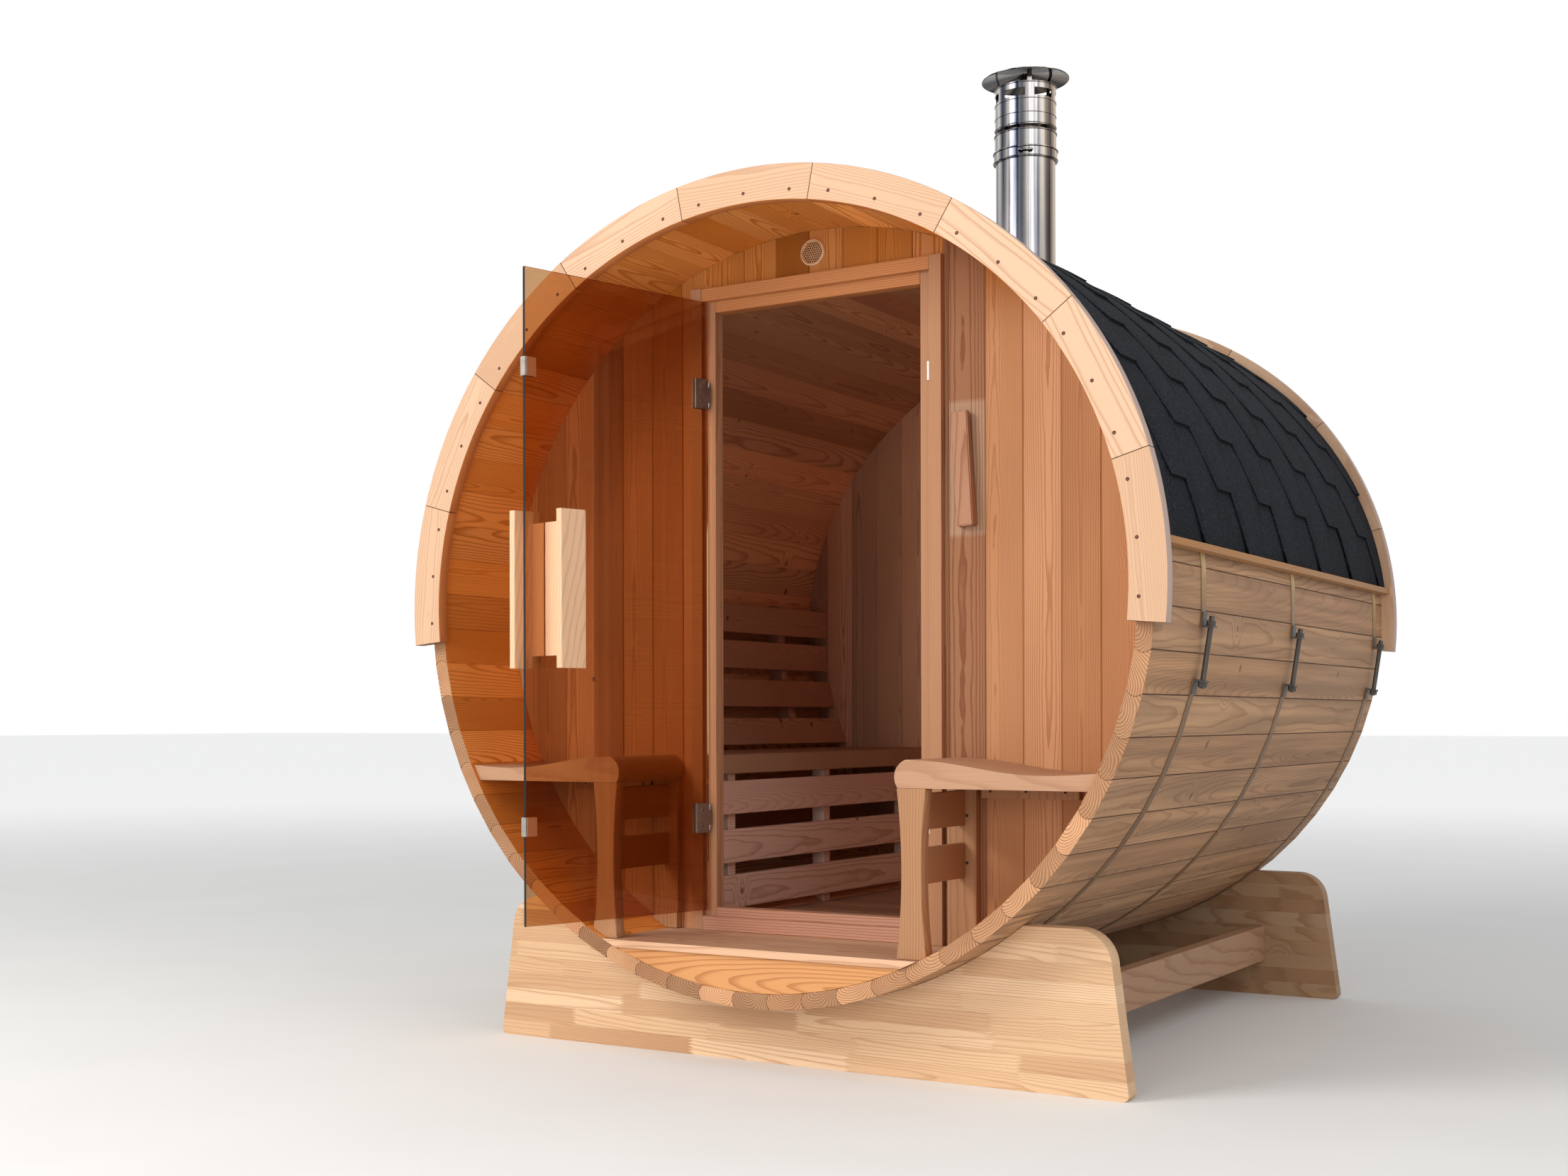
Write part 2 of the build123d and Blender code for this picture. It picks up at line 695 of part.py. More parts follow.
def make_band(middle_y):
    """A strap round the staves, drawn tight by a threaded rod between two brackets."""
    y0, y1 = middle_y - band_width / 2, middle_y + band_width / 2
    outer = band_inner_radius + band_thickness
    face = seat_gap + band_thickness
    base_angle = degrees(bracket_base / outer)
    plate_angle = degrees(bracket_thickness / outer)
    rod_radius = outer + rod_standoff
    upper, lower = band_upper_angle, band_lower_angle
    band = strap_plate(lower - 360, upper, seat_gap, face, y0, y1)
    for start, end, reach in ((upper - base_angle, upper, bracket_thickness),
                              (upper - plate_angle, upper, bracket_reach),
                              (lower, lower + base_angle, bracket_thickness),
                              (lower, lower + plate_angle, bracket_reach)):
        band = band + strap_plate(start, end, face, face + reach, y0, y1)

    def on_rod(angle):
        return Vector(rod_radius * sin(radians(angle)), middle_y, axis_z + rod_radius * cos(radians(angle)))

    direction = (on_rod(upper) - on_rod(lower)).normalized()
    low_end = on_rod(lower) - direction * rod_low_overhang
    length = (on_rod(upper) - on_rod(lower)).length + rod_low_overhang + rod_overhang
    return band + Solid.make_cylinder(rod_diameter / 2, length, Plane(origin=low_end, z_dir=direction))


# Chimney

def make_pipe():
    """The flue from inside the roof to its widened head, with the clamp round the joint."""
    radius, bore = pipe_diameter / 2, pipe_diameter / 2 - pipe_wall
    low = axis_z + sqrt(covering_outer_radius ** 2 - radius ** 2) - pipe_below_roof
    clamp_low = clamp_top_z - clamp_height
    return turned((bore, low), (radius, low), (radius, clamp_low), (clamp_diameter / 2, clamp_low),
                  (clamp_diameter / 2, clamp_top_z), (head_diameter / 2, clamp_top_z),
                  (head_diameter / 2, head_top_z), (bore, head_top_z))


def make_crown():
    """The slotted sleeve under the rain cap, on a neck that stands in the pipe."""
    radius, bore = crown_diameter / 2, crown_diameter / 2 - crown_wall
    neck = pipe_diameter / 2 - pipe_wall - seat_gap
    neck_bore = neck - crown_wall
    neck_foot = head_top_z - crown_neck
    ledge = crown_z + crown_wall
    crown = turned((neck_bore, neck_foot), (neck, neck_foot), (neck, crown_z), (radius, crown_z),
                   (radius, crown_top_z), (bore, crown_top_z), (bore, ledge), (neck_bore, ledge))
    slot = Box(crown_slot_width, crown_diameter, crown_slot_height,
               align=(Align.CENTER, Align.MIN, Align.MAX))
    place = Pos(0, chimney_y, crown_top_z - crown_slot_drop)
    for index in range(crown_slot_count):
        crown = crown - place * Rot(0, 0, index * 360 / crown_slot_count) * slot
    return crown


def make_cap():
    """A shallow cone on short straps that stand inside the crown."""
    brim = cap_diameter / 2
    tip_under_z = cap_z + cap_rise - cap_thickness
    tip_z = cap_z + cap_rise
    cap = turned((0, tip_under_z), (cap_tip_radius, tip_under_z), (brim, cap_z),
                 (brim, cap_z + cap_thickness), (cap_tip_radius, tip_z), (0, tip_z))
    strap_out = (crown_diameter / 2 - crown_wall) * cos(pi / chimney_sides) - seat_gap
    slope = (cap_rise - cap_thickness) / (brim - cap_tip_radius)
    strap_top = (brim - strap_out) * slope + cap_thickness
    strap = box_between(strap_out - cap_thickness, strap_out, -cap_strap_width / 2, cap_strap_width / 2,
                        crown_top_z - cap_strap_overlap, cap_z + strap_top)
    for index in range(cap_strap_count):
        cap = cap + Pos(0, chimney_y, 0) * Rot(0, 0, (index + 0.5) * 360 / cap_strap_count) * strap
    return cap


def make_flashing():
    """The cone that seals the pipe to the roof."""
    bore = pipe_diameter / 2 + seat_gap
    low = axis_z + sqrt(covering_outer_radius ** 2 - (bore + flashing_reach) ** 2)
    top = axis_z + covering_outer_radius + flashing_height
    skirt = turned((bore, low), (bore + flashing_reach, low), (bore + flashing_collar, top), (bore, top))
    return skirt - round_bar(covering_outer_radius + seat_gap, stave_front_y, stave_rear_y)


# Small things on the front wall

def make_vent():
    """The round plate of the air vent."""
    outline = RegularPolygon(vent_diameter / 2, vent_sides)
    plate = Pos(0, 0, -vent_thickness / 2) * extrude(outline, vent_thickness)
    place = Pos(0, wall_front_y - seat_gap - vent_thickness / 2, axis_z + room_radius - vent_setback)
    return place * Rot(90, 0, 0) * plate


def make_wall_block():
    """A small tilted block whose foot is a little wider on the right."""
    depth = wall_block_thickness
    right, top = wall_block_width / 2, wall_block_height / 2
    block = Box(wall_block_width, depth, wall_block_height)
    block = fillet(block.edges().filter_by(Axis.Y), wall_block_radius)
    above_foot = box_between(right - wall_block_step, right + 1, -depth, depth, wall_block_foot - top, top + 1)
    block = block - above_foot
    place = Pos(frame_half_width + wall_block_gap, wall_front_y - seat_gap - wall_block_thickness / 2,
                floor_z + wall_block_rise)
    return place * Rot(0, wall_block_tilt, 0) * block


def save_barrel():
    staves = make_staves()
    per_group = stave_count // stave_groups
    names = ("top", "upper_right", "right", "lower_right", "bottom", "lower_left", "left", "upper_left")
    for group, name in enumerate(names):
        start = group * per_group - per_group // 2
        save(f"staves_{name}", *[staves[(start + step) % stave_count] for step in range(per_group)])
    save("front_ring", *make_ring(ring_front_y))
    save("rear_ring", *make_ring(stave_rear_y))
    save("roof_covering", make_covering())
    save("eave_battens", make_batten(), mirrored(make_batten()))
    middle_band_y = (stave_front_y + stave_rear_y) / 2 + middle_band_offset
    band_places = (stave_front_y + front_band_inset, middle_band_y, stave_rear_y - rear_band_inset)
    save("steel_bands", *[make_band(place) for place in band_places])
    save("front_cradle", make_cradle(front_cradle_y))
    save("rear_cradle", make_cradle(rear_cradle_y))
    save("cradle_stretchers", make_stretcher(), mirrored(make_stretcher()))


def save_walls():
    left, right, over = make_front_wall()
    save("front_wall_left", left)
    save("front_wall_right", right)
    save("front_wall_over_door", over)
    save("rear_wall", round_bar(room_radius, rear_wall_y, rear_wall_y + wall_thickness))
    save("porch_floor", make_floor(stave_front_y - floor_nosing, wall_front_y - seat_gap))
    save("cabin_floor", make_cabin_floor())
    save("porch_apron", make_apron())
    save("vent_grille", make_vent())
    save("wall_block", make_wall_block())


def save_door():
    save("door_jambs", make_jamb(), mirrored(make_jamb()))
    save("door_header", make_header())
    save("door_sill", make_sill())
    save("door_glass", make_glass())
    save("door_handle", *make_handle())
    hinges = (glass_z0 + hinge_inset, glass_z1 - hinge_inset)
    catches = (glass_z0 + catch_inset, glass_z1 - catch_inset)
    save("door_fittings", *[make_hinge_leaf(z) for z in hinges], *[make_catch_clip(z) for z in catches])
    save("jamb_fittings", *[make_jamb_hinge(z) for z in hinges], *[make_strike(z) for z in catches])


def save_benches():
    save("porch_bench_seat_right", make_bench_seat(right_bench_nose_x))
    save("porch_bench_seat_left", mirrored(make_bench_seat(left_bench_nose_x)))
    save("porch_bench_frame_right", *make_bench_frame(right_bench_nose_x))
    save("porch_bench_frame_left", *[mirrored(piece) for piece in make_bench_frame(left_bench_nose_x)])
    save("cabin_bench_seat", *make_cabin_seat())
    save("cabin_bench_front", *make_cabin_front())
    save("cabin_backrest", *make_backrest())


def save_chimney():
    save("chimney_pipe", make_pipe())
    save("chimney_cap", make_crown(), make_cap())
    save("chimney_flashing", make_flashing())


def main():
    os.makedirs("parts", exist_ok=True)
    save_barrel()
    save_walls()
    save_door()
    save_benches()
    save_chimney()


main()
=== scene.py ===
"""Barrel sauna with a porch: materials, fine shapes, studio and camera, in metres."""
import math
import random

import bmesh
import bpy
from mathutils import Matrix, Vector


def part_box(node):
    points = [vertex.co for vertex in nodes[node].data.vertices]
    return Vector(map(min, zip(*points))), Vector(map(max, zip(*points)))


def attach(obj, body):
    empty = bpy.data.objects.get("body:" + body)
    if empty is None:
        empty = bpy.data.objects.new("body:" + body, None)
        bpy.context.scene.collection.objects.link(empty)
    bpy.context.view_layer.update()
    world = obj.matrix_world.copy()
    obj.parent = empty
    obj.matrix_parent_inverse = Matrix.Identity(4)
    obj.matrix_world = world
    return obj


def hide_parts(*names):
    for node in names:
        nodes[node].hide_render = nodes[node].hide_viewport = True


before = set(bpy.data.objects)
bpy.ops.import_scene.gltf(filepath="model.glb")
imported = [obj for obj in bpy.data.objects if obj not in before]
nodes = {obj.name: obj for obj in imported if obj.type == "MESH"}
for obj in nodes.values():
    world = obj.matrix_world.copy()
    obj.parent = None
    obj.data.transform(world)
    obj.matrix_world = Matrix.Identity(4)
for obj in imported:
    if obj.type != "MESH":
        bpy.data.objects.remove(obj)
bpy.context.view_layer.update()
chance = random.Random(7)

# Staves and end rings, in metres. Angles are in radians, from the top of the barrel
axis_z = 1.117
stave_count = 64
stave_pitch = math.radians(360 / stave_count)
stave_radius = 0.965
stave_thickness = 0.037
bead_depth = 0.009
front_y = -0.176
rear_y = 1.866
ring_radius = 1.0
ring_middle_radius = 0.96
ring_inner_radius = 0.917
front_ring_y = -0.19
segment_angle = math.radians(21.15)
hole_circle = 0.940
hole_angle = math.radians(7.46)

# Walls. The joints between boards lie at wall_start and every wall_pitch from there
room_radius = 0.9266
wall_front_y = 0.134
wall_thickness = 0.028
wall_spacing = 1.684
wall_pitch = 0.0935
wall_start = 0.0815
panel_edge = 0.3503
vent_bore_radius = 0.025
between_walls = (0.5, 0.6)

# The pale length let into the board on the right of the doorway
patch_left = 0.3622
patch_right = 0.4551
patch_low = 1.258
patch_high = 1.577

# Door, its hinges and its catch plates
pivot_x = -0.302
pivot_y = 0.128
door_open_angle = math.radians(104.2)
catch_face = 0.0045
catch_start = 0.5
catch_end = 0.6036
hinge_inset = 0.236

# Floor boards, cradle strips and bands
floor_pitch = 0.106
floor_start = -0.187
floor_edge_y = -0.1835
strip_width = 0.0418
strip_length = 0.46
strap_radius = 0.9682
rod_radius = 0.9843
rod_angles = (math.radians(95.0), math.radians(101.8))
band_places = (0.143, 0.881, 1.766)

# Roof and chimney
chimney_y = 1.509
flashing_hole = 0.094
tab_pitch = 0.33385
tab_flat = 0.110
tab_slope = 0.0567
tab_depth = 0.145
first_tab_y = 0.195
shingle_length = 0.336
shingle_thickness = 0.0032
roof_radius = 0.9677
eave_angle = math.radians(84.4)
arc_radius = 0.975
ridge_reach = eave_angle * arc_radius


# Materials

class Value:
    """A number or colour in a material's nodes, so that shading is written as plain arithmetic."""

    def __init__(self, look, socket):
        self.look = look
        self.socket = socket

    def do(self, operation, *others):
        """The result of a maths node whose first input is this value."""
        return self.look.maths(operation, self, *others)

    def __add__(self, other):
        return self.do("ADD", other)

    def __sub__(self, other):
        return self.do("SUBTRACT", other)

    def __rsub__(self, other):
        return self.look.maths("SUBTRACT", other, self)

    def __mul__(self, other):
        return self.do("MULTIPLY", other)

    def __truediv__(self, other):
        return self.do("DIVIDE", other)

    __radd__ = __add__
    __rmul__ = __mul__

    def rise(self, low, high):
        """0 below low and 1 above high, with a smooth step between them."""
        return self.look.node("MapRange", {"Value": self, "From Min": low, "From Max": high},
                              interpolation_type="SMOOTHSTEP")


class Look:
    """A material with one Principled shader, and short calls for the nodes that feed it."""

    def __init__(self, name, constants):
        self.material = bpy.data.materials.new(name)
        self.material.use_nodes = True
        self.tree = self.material.node_tree
        self.shader = self.tree.nodes["Principled BSDF"]
        for socket, value in constants.items():
            self.shader.inputs[socket].default_value = value

    def put(self, socket, value):
        """Link a value to an input, or set a plain number or colour there."""
        if isinstance(value, Value):
            self.tree.links.new(value.socket, socket)
        else:
            socket.default_value = value

    def make(self, kind, inputs, **settings):
        """Add a node with its settings and inputs."""
        made = self.tree.nodes.new("ShaderNode" + kind)
        for name, value in settings.items():
            setattr(made, name, value)
        for key, value in inputs.items():
            self.put(made.inputs[key], value)
        return made

    def node(self, kind, inputs, output=0, **settings):
        """Add a node and take one of its outputs."""
        return Value(self, self.make(kind, inputs, **settings).outputs[output])

    def maths(self, operation, *values):
        return self.node("Math", dict(enumerate(values)), operation=operation)

    def split(self, vector):
        made = self.make("SeparateXYZ", {0: vector})
        return [Value(self, output) for output in made.outputs]

    def joined(self, x, y, z):
        return self.node("CombineXYZ", {0: x, 1: y, 2: z})

    def place(self):
        """The point's own x, y and z in the model's frame."""
        return self.split(self.node("TexCoord", {}, "Object"))

    def round_place(self):
        """The point's distance from the barrel's axis, its angle from the top, and its y."""
        x, y, z = self.place()
        height = z - axis_z
        radius = (x * x + height * height).do("SQRT")
        return radius, self.maths("ARCTAN2", x, height), y

    def noise(self, x, y, z, detail=2.0):
        inputs = {"Vector": self.joined(x, y, z), "Scale": 1.0, "Detail": detail}
        return self.node("TexNoise", inputs, "Fac")

    def chances(self, number):
        """Three numbers from 0 to 1 that belong to this board."""
        return self.split(self.node("TexWhiteNoise", {"W": number}, "Color", noise_dimensions="1D"))

    def ramp(self, value, *tones):
        """A colour from a row of tones, the first one at a value of 0.1 and the last one at 0.9."""
        made = self.make("ValToRGB", {0: value})
        elements = made.color_ramp.elements
        while len(elements) < len(tones):
            elements.new(0.5)
        for index, colour in enumerate(tones):
            elements[index].position = 0.1 + 0.8 * index / (len(tones) - 1)
            elements[index].color = colour
        return Value(self, made.outputs[0])

    def mix(self, share, first, second, blend="MIX"):
        """The first colour with a share of the second. They are the node's inputs 6 and 7."""
        inputs = {0: share, 6: first, 7: second}
        return self.node("Mix", inputs, 2, data_type="RGBA", blend_type=blend)

    def shift(self, colour, hue=0.5, saturation=1.0, value=1.0):
        """A colour with its hue turned, where 0.5 is no turn, and its saturation and value multiplied."""
        inputs = {"Color": colour, "Hue": hue, "Saturation": saturation, "Value": value}
        return self.node("HueSaturation", inputs)

    def finish(self, colour, roughness, height, depth=0.001, strength=0.7, normal=None):
        """Feed the shader with colour, roughness and bumps of this height."""
        self.put(self.shader.inputs["Base Color"], colour)
        self.put(self.shader.inputs["Roughness"], roughness)
        inputs = {"Height": height, "Distance": depth, "Strength": strength}
        if normal:
            inputs["Normal"] = normal
        self.put(self.shader.inputs["Normal"], self.node("Bump", inputs))
        return self.material


def tone(red, green, blue):
    """A colour from the values that a screen shows, 0 to 255."""
    def linear(value):
        share = value / 255
        return share / 12.92 if share <= 0.04045 else ((share + 0.055) / 1.055) ** 2.4
    return (linear(red), linear(green), linear(blue), 1.0)


def fingers(place, pitch, depth):
    """The zigzag of a finger joint, from 0 to its depth."""
    return ((place / pitch).do("FRACT") - 0.5).do("ABSOLUTE") * (depth * 2)


def stave_grain(look):
    """Grain of the staves. Their joints bulge with the bead on each stave's edge."""
    radius, angle, y = look.round_place()
    through = radius - (stave_radius - stave_thickness / 2)
    share = through / (stave_thickness / 2)
    bulge = (1 - share * share).do("MAXIMUM", 0.0) * bead_depth
    turn = angle - bulge / radius
    number = (turn / stave_pitch).do("ROUND")
    across = (turn - number * stave_pitch) * radius
    lowest = number.do("LESS_THAN", 0.5 - stave_count / 2)
    return y, across, through, number + lowest * stave_count


def ring_grain(look):
    """Grain of the rings' segments, straight along each one. The rear ring has other numbers."""
    radius, angle, y = look.round_place()
    number = (angle / segment_angle).do("ROUND")
    local = angle - number * segment_angle
    along = radius * local.do("SINE")
    across = radius * local.do("COSINE") - ring_middle_radius
    return along, across, y - front_ring_y, number + y.rise(0, 1) * 20


def board_grain(along, across, pitch, start=0.0, through_middle=0.0, seed=0.0):
    """Grain of boards side by side. along and across are axes, and a new board starts every pitch."""
    def grain(look):
        axes = dict(zip("XYZ", look.place()))
        through = next(axes[name] for name in "XYZ" if name not in (along, across))
        steps = (axes[across] - start) / pitch
        number = steps.do("FLOOR")
        local = (steps - number - 0.5) * pitch
        return axes[along], local, through - through_middle, number + seed
    return grain


def wall_grain(look):
    """Grain of the front and rear walls' boards. The rear ones have other numbers."""
    middle_y = wall_front_y + wall_thickness / 2
    along, across, through, number = board_grain("Z", "X", wall_pitch, wall_start, middle_y)(look)
    rear = through.rise(*between_walls)
    return along, across, through - rear * wall_spacing, number + rear * 31


def strip_grain(look):
    """Grain of the cradles, glued from short strips laid end to end and joined by fingers."""
    seed = 11.0
    x, y, z = look.place()
    row = (z / strip_width).do("FLOOR")
    first, second = look.chances(row + seed)[:2]
    slid = x + fingers(z, 0.0072, 0.015) + first * strip_length * 4
    cell = (slid / (strip_length * (0.8 + 0.5 * second))).do("FLOOR")
    across = z - (row + 0.5) * strip_width
    return x, across, y, row * 13 + cell * 3.7 + seed


def knot_pattern(look, along, across, shift, share):
    """Knots in a share of the cells of a pattern, and how far each pushes the rings aside."""
    density = 4.2
    spot = look.joined(along * density, across * density + shift, 0.0)
    cells = look.make("TexVoronoi", {"Vector": spot, "Scale": 1.0}, voronoi_dimensions="2D")
    distance = Value(look, cells.outputs["Distance"]) / density
    lot, size = look.split(Value(look, cells.outputs["Color"]))[:2]
    present = lot.do("GREATER_THAN", 1 - share)
    radius = 0.004 + size * 0.009
    knot = present * (1 - (distance / radius).rise(0.55, 1.1))
    swirl = present * (1 - distance.rise(0.0, 0.055)) * 0.016
    return knot, swirl


def wood(name, grain, tones, ring=0.006, dark=0.5, sway=0.03, knots=0.3, streak=0.1, lean=0.06, finish=None):
    """Solid wood: year rings round a pith that leans through or past each board, with fibres and knots.

    ring is the mean width of a year ring and dark the depth of its dark line. sway is how far the rings
    wander, knots the share of cells with a knot, streak how much the fibres differ, lean the pith's slope.
    """
    look = Look(name, {"Specular IOR Level": 0.3})
    along, across, through, number = grain(look)
    first, second, third = look.chances(number)
    shift = first * 37
    slow = look.noise(along * 1.6 + shift, across * 6 + shift, through * 6)
    quick = look.noise(along * 9, across * 40 + shift, through * 40)
    fibre = look.noise(along * 5, across * 260 + shift, through * 260, 3.0)
    knot, swirl = knot_pattern(look, along, across, shift, knots)
    side = across + (second - 0.5) * 0.09
    deep = through + 0.012 + third * 0.05 + along * (second - 0.5) * 2 * lean
    rings = (side * side + deep * deep).do("SQRT") + (slow - 0.5) * sway + (quick - 0.5) * 0.004 + swirl
    phase = (rings / (ring * (0.75 + 0.7 * first))).do("FRACT")
    line = phase.rise(0.52, 0.92) * (1 - phase.rise(0.94, 1.0))
    colour = look.ramp(third * 0.6 + slow * 0.4, *tones)
    colour = look.mix(line * dark * (0.5 + third), colour, (0.60, 0.44, 0.34, 1), "MULTIPLY")
    colour = look.shift(colour, value=1 + (fibre - 0.5) * 2 * streak)
    colour = look.mix(knot * 0.85, colour, (0.34, 0.2, 0.13, 1), "MULTIPLY")
    height = fibre * 0.5 - line * 0.3 - knot * 0.3
    if finish:
        colour, height = finish(look, colour, height, (along, across, through, number, rings))
    return look.finish(colour, 0.52 + fibre * 0.25, height)


def stave_finish(look, colour, height, grain):
    """Greyed outside below the roof, warm towards the porch and uneven towards the cabin, with arcs of
    end grain where sawn and a dark line at each joint."""
    along, across, through, number, rings = grain
    outer_face = through.rise(0.012, 0.017)
    # The roof ends at the fifteenth stave on each side of the top one
    below_roof = number.do("ABSOLUTE").rise(14.3, 15.1)
    in_cabin = (along - wall_front_y).rise(0.03, 0.032)
    sawn = 1 - (along - front_y).rise(0.0003, 0.0012) * (rear_y - along).rise(0.0003, 0.0012)
    cloud = look.noise(along * 3, across * 9, through * 9 + number, 3.0)
    even = look.ramp(cloud * 0.7 + (number * 2.4).do("SINE") * 0.15 + 0.15,
                     tone(126, 92, 64), tone(150, 115, 83), tone(170, 134, 100))
    grey = look.mix(0.34, look.shift(colour, 0.508, 0.84, 0.72), even)
    streak = look.noise(along * 1.1, across * 30 + number, number, 3.0)
    grey = look.shift(grey, value=0.82 + streak.rise(0.35, 0.7) * 0.42)
    arcs = (rings / 0.0058).do("FRACT")
    arcs = arcs.rise(0.35, 0.75) * (1 - arcs.rise(0.88, 1.0))
    end_chance, inner_chance = look.chances(number * 1.7)[:2]
    end = look.shift(even, 0.497, 1.0, 1.10 + end_chance * 0.75)
    pale = look.mix(arcs * 0.75, end, (0.60, 0.38, 0.24, 1), "MULTIPLY")
    porch_side = look.shift(colour, 0.5, 1.08, 1.02 + inner_chance * 0.36)
    cabin_side = look.shift(colour, 0.502, 0.88, 0.88 + inner_chance * 0.88)
    colour = look.mix(in_cabin * (1 - outer_face), porch_side, cabin_side)
    colour = look.mix(outer_face * below_roof, colour, grey)
    colour = look.mix(sawn, colour, pale)
    half = stave_pitch / 2 * stave_radius
    joint = 0.0022 - sawn * 0.0011
    gap = (across.do("ABSOLUTE") - half + joint).rise(0.0, 0.0016)
    return look.mix(gap * 0.85, colour, (0.2, 0.13, 0.09, 1), "MULTIPLY"), height - gap * 1.5


def ring_finish(look, colour, height, grain):
    """Bored screw holes with painted shade in them, joints between segments, painted bounce light that turns
    the inner edge orange and painted shade that greys the outer one.
    """
    radius, angle = look.round_place()[:2]
    local = (angle - (angle / segment_angle).do("ROUND") * segment_angle).do("ABSOLUTE")
    nearest = local.do("MINIMUM", (local - hole_angle).do("ABSOLUTE")) * hole_circle
    off = radius - hole_circle
    distance = (off * off + nearest * nearest).do("SQRT")
    hole = 1 - distance.rise(0.0034, 0.0044)
    head = 1 - distance.rise(0.0016, 0.0024)
    joint = 1 - ((segment_angle / 2 - local) * radius).rise(0.0005, 0.0013)
    # Painted light on the ring's edges: warm bounce light on the inner edge, grey shade on the outer one
    inner_edge_bounce_light = 1 - radius.rise(ring_inner_radius + 0.0004, ring_inner_radius + 0.0014)
    outer_edge_painted_shade = radius.rise(ring_radius - 0.0012, ring_radius - 0.0004)
    colour = look.mix(joint * 0.8, colour, (0.26, 0.14, 0.09, 1), "MULTIPLY")
    colour = look.mix(inner_edge_bounce_light, colour, tone(196, 124, 70))
    colour = look.mix(outer_edge_painted_shade, colour, tone(186, 160, 148))
    # The dark tone in each hole is painted shade; the screw head keeps its own tone
    colour = look.mix(hole, colour, tone(70, 30, 18))
    colour = look.mix(head, colour, tone(120, 72, 50))
    return colour, height - hole * 6 - joint * 3


def strip_finish(look, colour, height, grain):
    """Hair lines between the strips, and painted shade that darkens the rear cradle, whose wood is also a
    little darker.
    """
    half = strip_width / 2
    gap = grain[1].do("ABSOLUTE").rise(half - 0.0009, half - 0.0001)
    # Painted shade, with some darker wood: the whole rear cradle is made darker
    rear = look.place()[1].rise(1.0, 1.1)
    colour = look.mix(rear, colour, look.shift(colour, 0.495, 1.1, 0.54))
    return look.mix(gap * 0.25, colour, (0.4, 0.28, 0.2, 1), "MULTIPLY"), height


def wall_finish(look, colour, height, grain):
    """Painted warm shade towards the top of the front wall, and dark on the right of the doorway apart from
    a pale length with a finger joint at each end. Boards seen from inside differ more in tone."""
    x, y, z = look.place()
    sharp = (0, 0.0001)
    finger = fingers(x, 0.0045, 0.013)
    front = 1 - y.rise(*between_walls)
    left_of_end = (patch_right - x).rise(*sharp)
    tall = (z - patch_low - finger).rise(0, 0.002) * (patch_high + finger - z).rise(0, 0.002)
    patch = front * (x - patch_left).rise(*sharp) * left_of_end * tall
    beside_door = front * (x - panel_edge - 0.0007).rise(*sharp) * left_of_end
    pale = look.shift(colour, 0.503, 0.88, 0.66)
    darker = look.shift(colour, 0.492, 1.1, 0.50)
    # Painted shade: the front wall grows warmer and darker towards its top, over the door and on both sides
    over_door = front * z.rise(1.72, 1.96)
    colour = look.mix(over_door, colour, look.shift(colour, 0.497, 1.22, 0.86))
    colour = look.mix(patch, look.mix(beside_door, colour, darker), pale)
    board_chance = look.chances(grain[3] * 1.9)[1]
    inside = (y - wall_front_y).rise(0.020, 0.022)
    return look.mix(inside, colour, look.shift(colour, 0.497, 0.90, 0.70 + board_chance * 1.05)), height


def floor_finish(look, colour, height, grain):
    """Thin dark joints between the boards, and painted light that makes the front edge paler."""
    half = floor_pitch / 2
    joint = 0.0018
    gap = grain[1].do("ABSOLUTE").rise(half - joint, half - joint * 0.3)
    colour = look.mix(gap * 0.8, colour, (0.25, 0.17, 0.12, 1), "MULTIPLY")
    # Painted light: the front edge of the porch floor is made paler
    front_edge_painted_light = 1 - look.place()[1].rise(floor_edge_y, floor_edge_y + 0.001)
    return look.mix(front_edge_painted_light, colour, look.shift(colour, 0.505, 0.95, 1.35)), height - gap * 2


def shingle_look():
    """Nearly black bitumen with mineral granules, some of them paler."""
    look = Look("mineral_shingle", {"Specular IOR Level": 0.12})
    x, y, z = look.place()
    grains = look.noise(x * 620, y * 620, z * 620, 2.0)
    patch = look.noise(x * 5, y * 5, z * 5, 3.0)
    coarse = look.noise(x * 170, y * 170, z * 170, 2.0)
    specks = (grains * 0.45 + coarse * 0.55).rise(0.52, 0.64)
    colour = look.ramp(grains * 0.6 + patch * 0.4, (0.003, 0.0034, 0.0046, 1), (0.007, 0.0078, 0.011, 1),
                       (0.016, 0.018, 0.025, 1))
    colour = look.mix(specks * 0.45, colour, (0.07, 0.078, 0.10, 1))
    return look.finish(colour, 0.85 + grains * 0.1, grains, 0.0012, 0.9)


